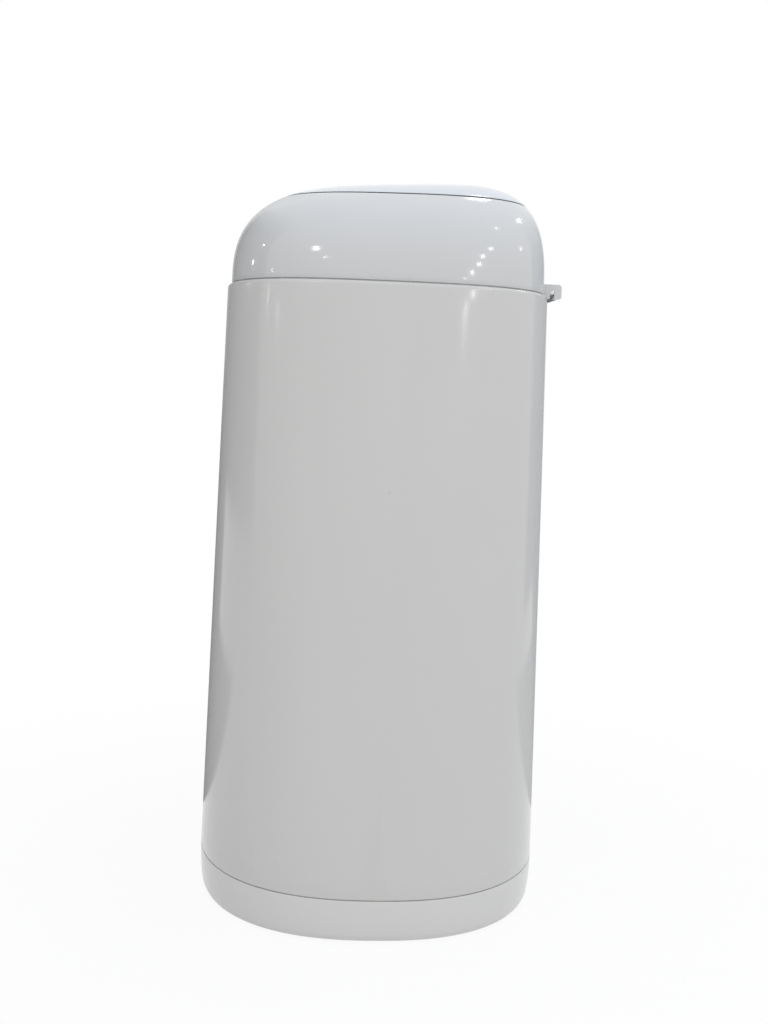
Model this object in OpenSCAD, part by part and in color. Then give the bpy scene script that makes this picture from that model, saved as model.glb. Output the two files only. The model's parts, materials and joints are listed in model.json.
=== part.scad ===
// Nappy bin with a flip lid over a sprung trap, on a head that tilts back over a film cassette.
// Millimetres. +Z is up, the front is -Y, the hinges are at +Y, and Z = 0 is the floor.

/* [Body] */
// Room from the cassette's pocket to the body's outline at each side, at the head seam
side_room = 15.7; // [12:0.1:22]
// Room from the cassette's pocket to the body's outline at front and rear, at the head seam
end_room = 12.7; // [11:0.1:18]
// Squareness of the body's plan at the head seam
neck_n = 2.9; // [2.6:0.05:3.2]
// Width of the body at the base seam
base_w = 270; // [262:0.5:280]
// Depth of the body at the base seam
base_d = 263; // [256:0.5:272]
// Squareness of the body's plan at the base seam
base_n = 2.36; // [2.2:0.02:2.7]
// Height of the seam between body and head
neck_z = 464; // [440:1:500]
// Wall of the body shell
body_wall = 3.2; // [2.6:0.1:3.8]
// Rounding of the body's top edge
rim_round = 2.2; // [1.2:0.1:2.6]
// Width of the flange inside the body's top edge
rim_flange = 8; // [7:0.25:9]
// Thickness of the body's inner flanges
flange_t = 3; // [2.4:0.1:4]

/* [Base pan] */
// Height of the seam between body and base pan
base_z = 33; // [30:0.5:40]
// How far the floor edge of the pan sits inside its top edge
floor_inset = 4; // [2:0.25:6]
// Height over which the pan's side rounds in to the floor
pan_round = 30; // [20:0.5:30]
// Thickness of the pan's floor
pan_floor = 3.5; // [3:0.1:5]
// Height of the pan's floor above the ground
pan_lift = 1.5; // [1:0.1:2.5]
// Height of the spigot that enters the body
spigot_h = 8; // [5:0.5:12]
// Width of the inner flange that the base screws pull on
base_flange = 19; // [18:0.25:24]
// Wall of the pan and its spigot
pan_wall = 2.6; // [2.2:0.1:3.2]
// Open groove at the base seam
base_groove = 0.8; // [0.5:0.1:1.4]
// Depth of the base screws' seats below the base seam
base_seat = 10; // [8:0.5:14]
// Radius of a rubber foot
foot_r = 11; // [8:0.5:14]
// Height of a rubber foot
foot_h = 3; // [2.6:0.1:4]
// Width and height of the bevel round a foot's lower edge
foot_bevel = 1.3; // [0.6:0.1:2]
// Distance of a foot's centre from the bin's axis
foot_reach = 104; // [90:1:108]

/* [Head] */
// Step from the body's outline in to the head's outline
head_step = 2.8; // [2:0.1:3.4]
// Height of the head's crown over the seam on the bin's axis
head_h = 81; // [76:0.5:88]
// Rise of the crown towards the rear, per unit of depth
crown_tilt = 0.065; // [0.03:0.005:0.08]
// Wall of the head shell
head_wall = 2.8; // [2.4:0.1:3.2]
// Height of the head's plan shoulder at the front, as a power
front_lift = 2.84; // [2.5:0.02:3.2]
// Spread of the head's shoulder at the front, as a power
front_spread = 3.14; // [2.8:0.02:3.5]
// Height of the head's shoulder at the rear, as a power
rear_lift = 3.03; // [2.7:0.02:3.4]
// Spread of the head's shoulder at the rear, as a power
rear_spread = 4.2; // [3.6:0.05:4.8]
// Height of the head's shoulder at the sides, as a power
side_lift = 2.62; // [2.3:0.02:3]
// Spread of the head's shoulder at the sides, as a power
side_spread = 2; // [1.8:0.02:2.3]
// Height of the shadow gap at the head seam
shadow_gap = 0.8; // [0.5:0.1:1.2]
// Depth of the shadow gap at the head seam
shadow_depth = 1.2; // [0.8:0.1:1.6]

/* [Head hinge] */
// Distance of the hinge pin inside the body's rear outline
hinge_in = 0.5; // [0:0.05:1.5]
// Height of the hinge pin over the seam
hinge_up = 2.8; // [2.6:0.1:3.2]
// Radius of the hinge pin
hinge_pin_r = 1.75; // [1.5:0.05:1.9]
// Length of the hinge hood
hood_l = 108; // [100:1:116]
// Reach of the hood behind the pin
hood_back = 7; // [6.8:0.1:7.6]
// Height of the hood over the pin
hood_up = 5.8; // [5.6:0.1:6.4]
// Depth of the hood below the pin
hood_down = 4.4; // [4:0.1:4.6]
// Wall of the hood
hood_wall = 2; // [1.6:0.1:2.1]
// Length of each hook that snaps over the pin
hook_l = 10; // [8:0.5:12]
// Width of the mouth under each hook
hook_mouth = 3.2; // [2.8:0.1:3.4]
// Distance of each hinge lug from the middle
lug_x = 34; // [28:0.5:36]
// Width of a hinge lug
lug_w = 9; // [7:0.5:11]
// Radius of the eye of a hinge lug
lug_r = 3.4; // [3:0.05:3.5]
// Reach of a hinge lug's arm ahead of the pin
arm_l = 16; // [14:0.5:17]
// Height of the arm's front end over the seam
arm_h = 3; // [2:0.1:3.6]

/* [Lid] */
// Height of the lid's crown over its lower edge, on the bin's axis
lid_h = 15.2; // [13.6:0.2:18]
// Open line between the head and the lid
lid_gap = 0.8; // [0.5:0.1:1.2]
// Wall of the lid
lid_wall = 2.6; // [2.2:0.1:3]
// Width of the lid's hinge tongue
tongue_w = 73; // [64:0.5:78]
// Depth of the tongue below the lid's edge
tongue_h = 11.5; // [11:0.25:12.5]
// Distance of the lid's pin inside the head's rear outline
lid_pin_in = 16.2; // [15.8:0.1:17.2]
// Distance of the lid's pin below the lid's edge
lid_pin_down = 7.6; // [7.2:0.1:8]
// Radius of the lid's pin
lid_pin_r = 1.5; // [1.2:0.05:1.7]
// Radius of the barrels on the lid
lid_barrel_r = 3.6; // [3.3:0.1:4]
// Width of the finger notch at the front
notch_w = 44; // [34:1:56]
// Depth of the finger notch
notch_h = 4.6; // [3:0.2:5]
// Thickness of the plate that closes the lid
lid_plate_t = 1.6; // [1.2:0.1:1.8]
// Width of the lid's seal
seal_w = 4; // [3:0.25:5]
// Distance from the funnel's mouth to the seal
seal_reach = 3; // [2:0.25:4]
// Radius of the pegs that hold the lid's plate
peg_r = 3; // [2:0.25:4]
// Distance of each peg from the bin's axis
peg_reach = 40; // [30:1:48]

/* [Funnel] */
// Width of the funnel's mouth
mouth_w = 112; // [104:1:116]
// Depth of the funnel's mouth
mouth_d = 136; // [128:1:140]
// Distance of the mouth's centre behind the bin's axis
mouth_y = 6; // [3:0.5:8]
// Width of the throat
throat_w = 82; // [76:1:86]
// Depth of the throat
throat_d = 96; // [88:1:98]
// Wall of the funnel
funnel_wall = 2.4; // [2:0.1:2.8]
// Height of the deck's underside over the head seam
deck_up = 2; // [1.6:0.1:2.4]
// Drop from the head's top edge to the rim that the seal meets
rim_drop = 0.8; // [0.5:0.1:1.2]
// Clearance between parts that nest in each other
nest_gap = 0.4; // [0.3:0.05:0.6]

/* [Trap] */
// Height of the trap frame
frame_h = 9; // [8.6:0.1:9.6]
// Width of the frame's side rails
rail_w = 15; // [12:0.5:18]
// Distance of each flap's pin from the bin's axis
flap_pin_y = 49.5; // [48:0.25:52]
// Radius of a flap's pin
flap_pin_r = 1.5; // [1.2:0.05:1.7]
// Radius of a flap's barrel
flap_barrel_r = 3.4; // [3.1:0.05:3.7]
// Thickness of a flap
flap_t = 2.4; // [2:0.1:3]
// Clearance between a flap and the side rails
flap_side_gap = 1.2; // [0.6:0.1:1.6]
// Gap between the soft lips of the two flaps
lip_gap = 0.8; // [0.6:0.1:1.4]
// Width of a soft lip
lip_w = 7.6; // [6:0.2:10]
// Thickness of a soft lip
lip_t = 1.2; // [0.8:0.1:1.6]
// Mean radius of a trap spring's coil
coil_r = 2.55; // [2.5:0.05:2.7]
// Radius of a trap spring's wire
wire_r = 0.45; // [0.4:0.05:0.5]
// Turns in a trap spring
coil_turns = 5; // [3:1:6]
// Length of a trap spring's coil
coil_l = 12; // [9:0.5:13]
// Reach of a trap spring's leg under its flap
spring_leg = 15; // [11:0.5:20]

/* [Cassette] */
// Outer radius of the film cassette
tub_r = 104; // [100:0.5:104.5]
// Radius of the cassette's opening
bore_r = 70; // [66:0.5:72]
// Height of the cassette's tub
tub_h = 62; // [50:1:63]
// Wall of the cassette
tub_wall = 1.8; // [1.4:0.1:2.4]
// Thickness of the cassette's cap
cap_t = 2.4; // [2:0.1:3]
// Slot round the opening that the film comes out of
film_slot = 3; // [2:0.25:4]
// Clearance between the cassette and its pocket
pocket_gap = 1.4; // [1:0.1:2]
// Wall of the cassette's pocket
pocket_wall = 2.4; // [2:0.1:3]
// Width of the ledge that the cassette rests on
ledge_w = 9; // [6:0.5:14]
// Height of the cap's top below the head seam
cassette_drop = 12; // [11:0.5:14]
// Height of the skirt under the cap's edge
cap_skirt = 5; // [3:0.25:8]

/* [Fasteners] */
// Radius of a screw's shank
screw_r = 1.6; // [1.3:0.05:1.8]
// Radius of a screw's head
screw_head_r = 3.2; // [2.8:0.1:3.6]
// Height of a screw's head
screw_head_h = 2.2; // [1.8:0.1:2.6]
// Radius of a moulded screw boss
boss_r = 5.2; // [5:0.05:5.6]
// Height of a moulded screw boss
boss_h = 13; // [10:0.5:15]

/* [Film cutter] */
// Length of the cutter's block
cutter_l = 30; // [24:0.5:32]
// Width of the cutter's block
cutter_w = 8; // [7:0.25:9]
// Depth of the cutter's block below the collar's top
cutter_h = 10; // [8:0.5:12]
// Thickness of the cutter's blade
blade_t = 0.6; // [0.4:0.05:0.8]

/* [Hidden] */

$fn = 48;
// Points round each squircle outline, and halvings that find a level on the dome
around = 64;
halvings = 20;
// Points on the outline of a spring's wire, and points along one turn of its coil
wire_sides = 6;
coil_steps = 12;
// Running clearance round a pin, overlap that fuses one solid with the next, overshoot of a cut
pin_gap = 0.06;
bite = 0.6;
cut = 1;
// Clearance of a swinging part from what it passes, and of a screw's shank in its hole
swing_gap = 0.6;
hole_gap = 0.3;

white = [0.93, 0.94, 0.95];
grey = [0.72, 0.74, 0.76];
dark = [0.2, 0.21, 0.22];
steel = [0.75, 0.76, 0.78];
film_blue = [0.78, 0.87, 0.93];

// The body's size at the head seam follows the cassette's pocket
pocket_r = tub_r + pocket_gap;
neck_w = 2 * (pocket_r + pocket_wall + side_room);
neck_d = 2 * (pocket_r + pocket_wall + end_room);

// Half sizes of the head's outline at the seam
head_a = neck_w / 2 - head_step;
head_b = neck_d / 2 - head_step;

// Levels
lid_z = neck_z + head_h - lid_h;
head_top_z = lid_z - lid_gap;
rim_z = head_top_z - rim_drop;
deck_z = neck_z + deck_up;
deck_top = deck_z + funnel_wall;
hinge_z = neck_z + hinge_up;
lid_pin_z = lid_z - lid_pin_down;
frame_z = deck_z - frame_h;
flap_z = frame_z + frame_h / 2;
rim_top = neck_z - flange_t;
cap_z = neck_z - cassette_drop;
tub_z = cap_z - cap_t - tub_h;
pan_inside = pan_lift + pan_floor;
spigot_z = base_z + spigot_h;

// Places round the bin
corners = [[1, 1], [-1, 1], [-1, -1], [1, -1]];
collar_inset = body_wall + nest_gap;
base_screw_angle = 45;
base_screw_reach = body_reach(base_screw_angle, base_z) - base_flange + boss_r;
base_screw_z = base_z - base_seat;
collar_screw_angle = 35;
collar_screw_reach = body_reach(collar_screw_angle, neck_z) - body_wall - boss_r + bite / 2;
collar_recess = screw_head_h + 0.1;
funnel_screw_angle = 45;
funnel_screw_reach =
    reach(funnel_screw_angle, head_a, head_b, neck_n) - head_wall - boss_r + bite;
funnel_recess = 1;
cutter_angle = 305;
cutter_reach = pocket_r + pocket_wall + cutter_w / 2 + 1.6;
cutter_plate_t = 1.2;

// Head hinge
hinge_y = neck_d / 2 - hinge_in;
relief_r = norm([hood_back, hood_down]) + 0.5;
relief_l = hood_l + 2;
hood_front = hood_back + 0.4;
arm_y = hinge_y - arm_l;

// Lid hinge: the well in the head and the tongue of the lid that turns in it
lid_pin_y = head_b - lid_pin_in;
tongue_z = lid_z - tongue_h;
well_r = norm([dome_rear(tongue_z) - lid_pin_y, tongue_z - lid_pin_z]) + swing_gap;
well_l = tongue_w + 1;
well_wall = 9;
well_side = well_l / 2 + well_wall;
well_front = lid_pin_y - well_r - head_wall;
well_lip = tongue_z - 1.4;

// Trap
frame_in = throat_w / 2 + 0.6;
frame_out = frame_in + rail_w;
frame_in_y = flap_pin_y + flap_barrel_r + 1;
frame_out_y = frame_in_y + 9.6;
frame_screw = [frame_in + rail_w / 2, frame_in_y + 4.8];
flap_half = frame_in - flap_side_gap;
coil_bay = coil_l / 2 + 2.5;
plate_tip = lip_gap / 2 + 1.6;

function power(v, p) = sign(v) * pow(abs(v), p);
function mix(from, to, share) = from + (to - from) * share;
function turn(i) = 360 * i / around;
function flat(points) = [for (p = points) [p.x, p.y]];
function at_level(points, z) = [for (p = points) [p.x, p.y, z]];

// A point of a squircle whose front and rear halves may differ in depth
function squircle(angle, a, front, rear, n) = [
    a * power(cos(angle), 2 / n),
    (sin(angle) < 0 ? front : rear) * power(sin(angle), 2 / n)
];
// Distance from the axis to a squircle's outline in a given direction
function reach(angle, a, b, n) =
    1 / pow(pow(abs(cos(angle)) / a, n) + pow(abs(sin(angle)) / b, n), 1 / n);
function ring(z, a, b, n, y = 0) = [
    for (i = [0 : around - 1]) let (p = squircle(turn(i), a, b, b, n)) [p.x, p.y + y, z]
];

// The body tapers evenly from the base seam to the neck
function body_share(z) = (z - base_z) / (neck_z - base_z);
function body_a(z) = mix(base_w, neck_w, body_share(z)) / 2;
function body_b(z) = mix(base_d, neck_d, body_share(z)) / 2;
function body_n(z) = mix(base_n, neck_n, body_share(z));
function body_ring(z, inset) = ring(z, body_a(z) - inset, body_b(z) - inset, body_n(z));
function body_reach(angle, z) = reach(angle, body_a(z), body_b(z), body_n(z));

// The head is one dome: k runs from 0 at the seam to 1 at the crown
function spread(k, lift, wide) = pow(max(0, 1 - pow(k, lift)), 1 / wide);
function dome(angle, k, inset) =
    let (
        a = (head_a - inset) * spread(k, side_lift, side_spread),
        front = (head_b - inset) * spread(k, front_lift, front_spread),
        rear = (head_b - inset) * spread(k, rear_lift, rear_spread),
        p = squircle(angle, a, front, rear, neck_n)
    )
    [p.x, p.y, neck_z + (head_h - inset) * k + crown_tilt * p.y * k];
// The k at which the dome passes a level, by halving
function dome_k(angle, z, inset, low = 0, high = 1, left = halvings) =
    let (middle = (low + high) / 2)
    left == 0 ? middle
    : dome(angle, middle, inset).z > z ? dome_k(angle, z, inset, low, middle, left - 1)
    : dome_k(angle, z, inset, middle, high, left - 1);
function dome_level(z, inset) = [
    for (i = [0 : around - 1]) let (p = dome(turn(i), dome_k(turn(i), z, inset), inset)) [p.x, p.y, z]
];
function dome_rear(z) = dome(90, dome_k(90, z, 0), 0).y;
// Depth of the dome's rear at a distance x from the middle
function dome_rear_at(x, z) =
    let (a = head_a * spread(dome_k(90, z, 0), side_lift, side_spread))
    dome_rear(z) * pow(1 - pow(x / a, neck_n), 1 / neck_n);
// Levels that crowd together where the dome's shoulder turns
function shoulder(from, to, steps) = [
    for (i = [0 : steps]) mix(from, to, 1 - pow(1 - i / steps, 1.6))
];
function backwards(list) = [for (i = [len(list) - 1 : -1 : 0]) list[i]];
// A ring of the lid's crown, from its edge at 0 to the middle at 1
function crown_ring(share, inset) = [
    for (i = [0 : around - 1])
        let (
            edge_k = dome_k(turn(i), lid_z, inset),
            edge_out = spread(edge_k, side_lift, side_spread),
            k = spread(edge_out * (1 - share), side_spread, side_lift)
        )
        dome(turn(i), k, inset)
];

// Level of the crown at a distance from the axis, straight ahead, behind or to a side
function crown_z(angle, distance) =
    let (
        k = angle == 90 ? spread(distance / head_b, rear_spread, rear_lift)
            : angle == 270 ? spread(distance / head_b, front_spread, front_lift)
            : spread(distance / head_a, side_spread, side_lift)
    )
    neck_z + head_h * k + crown_tilt * sin(angle) * distance * k;

// The funnel narrows from its mouth, at 1, to the throat, at 0
function funnel_ring(share, wall) = ring(
    mix(deck_top, rim_z, share),
    mix(throat_w, mouth_w, pow(share, 1.3)) / 2 + wall,
    mix(throat_d, mouth_d, pow(share, 1.3)) / 2 + wall,
    mix(5, 2.7, share),
    mouth_y * share
);

// Joins rings of points into one closed skin. With loop the last ring meets the first.
module skin(rings, loop = false) {
    count = len(rings);
    size = len(rings[0]);
    steps = loop ? count : count - 1;
    sides = [
        for (j = [0 : steps - 1], i = [0 : size - 1])
            let (
                low = j * size + i,
                low_next = j * size + (i + 1) % size,
                high = ((j + 1) % count) * size + i,
                high_next = ((j + 1) % count) * size + (i + 1) % size
            )
            each [[low, high, low_next], [low_next, high, high_next]]
    ];
    caps = loop ? [] : [
        [for (i = [0 : size - 1]) i],
        [for (i = [0 : size - 1]) count * size - 1 - i]
    ];
    polyhedron(points = [for (r = rings) each r], faces = concat(sides, caps), convexity = 8);
}

// Extrudes a profile drawn in Y and Z along X, about the middle
module along_x(length) {
    rotate([90, 0, 90])
        linear_extrude(length, center = true)
            children();
}

// A bar along X, used for pins, bores and round reliefs
module bar(y, z, r, length) {
    translate([0, y, z])
        rotate([0, 90, 0])
            cylinder(r = r, h = length, center = true);
}

// One copy in each quarter, at an angle from the X axis and a distance from the bin's axis
module at_corners(angle, distance) {
    for (c = corners)
        translate([c.x * cos(angle) * distance, c.y * sin(angle) * distance, 0])
            children();
}

module both_sides(x) {
    for (side = [-1, 1])
        translate([side * x, 0, 0])
            children();
}

// A screw that points up, with the seat of its head at the origin
module screw(length) {
    translate([0, 0, -screw_head_h])
        cylinder(r = screw_head_r, h = screw_head_h);
    cylinder(r = screw_r, h = length);
}

// A rectangle with round corners, about the origin
module rounded(width, depth, r) {
    square([width - 2 * r, depth], center = true);
    square([width, depth - 2 * r], center = true);
    for (c = corners)
        translate([c.x * (width / 2 - r), c.y * (depth / 2 - r)])
            circle(r);
}

module base_pan() {
    tower_r = boss_r + 1.2;
    spigot_inset = body_wall + nest_gap;
    function pan_ring(z, inset) = ring(z, base_w / 2 - inset, base_d / 2 - inset, base_n);
    function side(z) = floor_inset * (1 - pow(1 - pow(max(0, 1 - z / pan_round), 2.2), 1 / 2.2));
    skirt = [
        for (share = [0.07, 0.2, 0.38, 0.6, 0.83])
            let (z = mix(pan_lift, pan_round, share)) pan_ring(z, side(z))
    ];
    rings = concat(
        [pan_ring(pan_lift, side(pan_lift) + 2.2), pan_ring(pan_lift + 0.7, side(pan_lift) + 0.7)],
        skirt,
        [
            pan_ring(base_z - base_groove, 0),
            pan_ring(base_z - base_groove, body_wall / 2),
            pan_ring(base_z, body_wall / 2),
            pan_ring(base_z, spigot_inset),
            pan_ring(spigot_z, spigot_inset + bite),
            pan_ring(spigot_z, spigot_inset + pan_wall),
            pan_ring(pan_inside, spigot_inset + pan_wall + floor_inset)
        ]
    );
    color(white)
        difference() {
            union() {
                skin(rings);
                at_corners(base_screw_angle, base_screw_reach)
                    translate([0, 0, pan_inside - bite])
                        cylinder(r = tower_r, h = spigot_z - pan_inside + bite);
            }
            at_corners(base_screw_angle, base_screw_reach) {
                cylinder(r = screw_head_r + hole_gap, h = base_screw_z);
                cylinder(r = screw_r + hole_gap, h = spigot_z + cut);
            }
            at_corners(base_screw_angle, foot_reach)
                translate([0, 0, -cut])
                    cylinder(r = foot_r, h = foot_h + cut);
        }
}

module rubber_feet() {
    color(dark)
        at_corners(base_screw_angle, foot_reach)
            rotate_extrude()
                polygon([
                    [0, 0], [foot_r - foot_bevel, 0], [foot_r, foot_bevel], [foot_r, foot_h],
                    [0, foot_h]
                ]);
}

module base_screws() {
    color(steel)
        at_corners(base_screw_angle, base_screw_reach)
            translate([0, 0, base_screw_z])
                screw(spigot_z - base_screw_z + boss_h - 2);
}

module body_shell() {
    outer = concat(
        [for (share = [0 : 0.2 : 0.8]) body_ring(mix(base_z, neck_z, share), 0)],
        [for (a = [0 : 30 : 90])
            body_ring(neck_z - rim_round * (1 - sin(a)), rim_round * (1 - cos(a)))]
    );
    inner = concat(
        [
            body_ring(neck_z, body_wall),
            body_ring(rim_top, body_wall),
            body_ring(rim_top, rim_flange),
            body_ring(rim_top - flange_t, rim_flange),
            body_ring(rim_top - flange_t, body_wall)
        ],
        [for (share = [0.8 : -0.2 : 0.2]) body_ring(mix(base_z, neck_z, share), body_wall)],
        [
            body_ring(spigot_z + flange_t, body_wall),
            body_ring(spigot_z + flange_t, base_flange),
            body_ring(spigot_z, base_flange),
            body_ring(spigot_z, body_wall),
            body_ring(base_z, body_wall)
        ]
    );
    color(white)
        difference() {
            union() {
                skin(concat(outer, inner), loop = true);
                at_corners(collar_screw_angle, collar_screw_reach)
                    translate([0, 0, rim_top - boss_h])
                        cylinder(r = boss_r, h = boss_h);
                at_corners(base_screw_angle, base_screw_reach)
                    translate([0, 0, spigot_z])
                        cylinder(r = boss_r, h = boss_h);
            }
            bar(hinge_y, hinge_z, relief_r, relief_l);
            at_corners(collar_screw_angle, collar_screw_reach)
                translate([0, 0, rim_top - boss_h - cut])
                    cylinder(r = screw_r, h = boss_h + 2 * cut);
            at_corners(base_screw_angle, base_screw_reach)
                translate([0, 0, spigot_z - cut])
                    cylinder(r = screw_r, h = boss_h + 2 * cut);
        }
}

// Carries the cassette, the hinge lugs and the film cutter, and drops in from above
module collar() {
    lug_top = hinge_z + lug_r;
    color(white)
        difference() {
            union() {
                difference() {
                    translate([0, 0, rim_top])
                        linear_extrude(flange_t)
                            polygon(flat(body_ring(neck_z, collar_inset)));
                    bar(hinge_y, hinge_z, relief_r, relief_l);
                }
                translate([0, 0, tub_z - flange_t])
                    cylinder(r = pocket_r + pocket_wall, h = neck_z - tub_z);
                both_sides(lug_x) {
                    along_x(lug_w)
                        polygon([
                            [arm_y, neck_z - bite], [arm_y, neck_z + arm_h],
                            [arm_y + lug_top - neck_z - arm_h, lug_top],
                            [hinge_y, lug_top], [hinge_y, neck_z], [hinge_y - relief_r, neck_z - bite]
                        ]);
                    bar(hinge_y, hinge_z, lug_r, lug_w);
                }
            }
            translate([0, 0, tub_z])
                cylinder(r = pocket_r, h = neck_z - tub_z + cut);
            translate([0, 0, tub_z - flange_t - cut])
                cylinder(r = pocket_r - ledge_w, h = flange_t + 2 * cut);
            both_sides(lug_x)
                bar(hinge_y, hinge_z, hinge_pin_r, lug_w + 2 * cut);
            at_corners(collar_screw_angle, collar_screw_reach) {
                translate([0, 0, rim_top - cut])
                    cylinder(r = screw_r + hole_gap, h = flange_t + 2 * cut);
                translate([0, 0, neck_z - collar_recess])
                    cylinder(r = screw_head_r + hole_gap / 2, h = collar_recess + cut);
            }
            rotate([0, 0, cutter_angle])
                translate([cutter_reach - cutter_w / 2, -cutter_l / 2, rim_top - cut])
                    cube([cutter_w, cutter_l, flange_t + 2 * cut]);
        }
}

module collar_screws() {
    color(steel)
        at_corners(collar_screw_angle, collar_screw_reach)
            translate([0, 0, neck_z - collar_recess])
                rotate([180, 0, 0])
                    screw(boss_h);
}

module hinge_pin() {
    color(steel)
        bar(hinge_y, hinge_z, hinge_pin_r, hood_l);
}

// The film is drawn down the slot on to the blade at its foot
module cutter_holder() {
    block_w = cutter_w - nest_gap;
    block_l = cutter_l - nest_gap;
    slot_w = blade_t + 1.4;
    color(grey)
        rotate([0, 0, cutter_angle])
            translate([cutter_reach, 0, neck_z])
                difference() {
                    union() {
                        linear_extrude(cutter_plate_t)
                            rounded(cutter_w + 3, cutter_l + 4, 2);
                        translate([-block_w / 2, -block_l / 2, -cutter_h])
                            cube([block_w, block_l, cutter_h + bite]);
                    }
                    translate([-slot_w / 2, -block_l / 2 + 2, -cutter_h * 0.6])
                        cube([slot_w, block_l + 4, cutter_h]);
                    translate([-blade_t / 2, -block_l / 2 + 3, -cutter_h + 1.5])
                        cube([blade_t, block_l - 6, cutter_h]);
                }
}

module cutter_blade() {
    foot = -cutter_h + 1.5;
    color(steel)
        rotate([0, 0, cutter_angle])
            translate([cutter_reach, 0, neck_z])
                rotate([90, 0, 90])
                    linear_extrude(blade_t, center = true)
                        polygon([
                            [-cutter_l / 2 + 3.4, foot], [cutter_l / 2 - 3.4, foot],
                            [cutter_l / 2 - 3.4, -cutter_h * 0.6 + 0.5],
                            [-cutter_l / 2 + 3.4, -cutter_h * 0.6 + 3.5]
                        ]);
}

module cassette_tub() {
    color(white)
        translate([0, 0, tub_z])
            rotate_extrude()
                polygon([
                    [bore_r, 0], [tub_r, 0], [tub_r, tub_h], [tub_r - tub_wall, tub_h],
                    [tub_r - tub_wall, tub_wall], [bore_r + tub_wall, tub_wall],
                    [bore_r + tub_wall, tub_h + cap_t / 2], [bore_r, tub_h + cap_t / 2]
                ]);
}

module cassette_cap() {
    skirt_out = tub_r - tub_wall - nest_gap / 2;
    color(white)
        translate([0, 0, tub_z + tub_h])
            rotate_extrude()
                polygon([
                    [bore_r + tub_wall + film_slot, 0], [skirt_out - tub_wall, 0],
                    [skirt_out - tub_wall, -cap_skirt], [skirt_out, -cap_skirt], [skirt_out, 0],
                    [tub_r, 0], [tub_r, cap_t - 1], [tub_r - 1, cap_t],
                    [bore_r + tub_wall + film_slot, cap_t]
                ]);
}

// The sleeve of film, packed in pleats
module film_pack() {
    pleats = 9;
    pack_h = tub_h - tub_wall - 2 * cap_skirt;
    inside = bore_r + tub_wall + nest_gap;
    outside = tub_r - tub_wall - 3;
    color(film_blue)
        translate([0, 0, tub_z + tub_wall])
            rotate_extrude()
                polygon(concat(
                    [[inside, pack_h], [inside, 0]],
                    [for (i = [0 : 2 * pleats])
                        [outside - (i % 2 == 0 ? 1.2 : 0), i * pack_h / (2 * pleats)]]
                ));
}

// Outline of the hinge hood in Y and Z, about the pin
module hood_outline() {
    r = 2.4;
    translate([hinge_y, hinge_z])
        polygon(concat(
            [
                [-hood_front, hood_up], [-hood_front, 1.4 - hood_down],
                [1.4 - hood_front, -hood_down], [hood_back - bite, -hood_down],
                [hood_back, bite - hood_down]
            ],
            [for (a = [0 : 22.5 : 90]) [hood_back - r + r * cos(a), hood_up - r + r * sin(a)]]
        ));
}

// The solid round the lid's hinge well, inside the shell's rear shoulder
module well_block() {
    foot = lid_pin_z - well_r - head_wall;
    levels = [foot, mix(foot, head_top_z, 0.5), head_top_z];
    along_x(2 * well_side)
        polygon(concat(
            [[well_front, head_top_z], [well_front, foot]],
            [for (z = levels) [dome_rear_at(well_side, z) - bite, z]]
        ));
}

module well_space() {
    bar(lid_pin_y, lid_pin_z, well_r, well_l);
    along_x(well_l)
        polygon([
            [lid_pin_y - well_r, lid_pin_z], [lid_pin_y, well_lip], [head_b + cut, well_lip],
            [head_b + cut, lid_z + cut], [lid_pin_y - well_r, lid_z + cut]
        ]);
}

module head_shell() {
    foot_z = neck_z + shadow_gap;
    outer = [for (z = shoulder(foot_z, head_top_z, 9)) dome_level(z, 0)];
    inner = [for (z = backwards(shoulder(neck_z, head_top_z, 8))) dome_level(z, head_wall)];
    foot = [dome_level(neck_z, shadow_depth), dome_level(foot_z, shadow_depth)];
    notch_r = (notch_w * notch_w / 4 + notch_h * notch_h) / (2 * notch_h);
    cavity_l = hood_l - 2 * hook_l;
    color(white)
        difference() {
            union() {
                skin(concat(outer, inner, foot), loop = true);
                along_x(hood_l)
                    hood_outline();
                well_block();
                at_corners(funnel_screw_angle, funnel_screw_reach)
                    translate([0, 0, deck_top])
                        cylinder(r = boss_r, h = boss_h);
            }
            bar(hinge_y, hinge_z, hinge_pin_r + pin_gap, hood_l + 2 * cut);
            translate([0, hinge_y, hinge_z - hood_down - cut])
                along_x(hood_l + 2 * cut)
                    translate([-hook_mouth / 2, 0])
                        square([hook_mouth, hood_down + cut]);
            along_x(cavity_l)
                translate([hinge_y - hood_front - 5, hinge_z - hood_down - cut])
                    square([hood_front + 5 + hood_back - hood_wall, hood_down + cut + hood_up - hood_wall]);
            well_space();
            bar(lid_pin_y, lid_pin_z, lid_pin_r, 2 * well_side - 2 * cut);
            translate([0, -mouth_d / 2, head_top_z - notch_h + notch_r])
                rotate([90, 0, 0])
                    cylinder(r = notch_r, h = head_b, $fn = 180);
            at_corners(funnel_screw_angle, funnel_screw_reach)
                translate([0, 0, deck_top - cut])
                    cylinder(r = screw_r, h = boss_h);
        }
}

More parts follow.
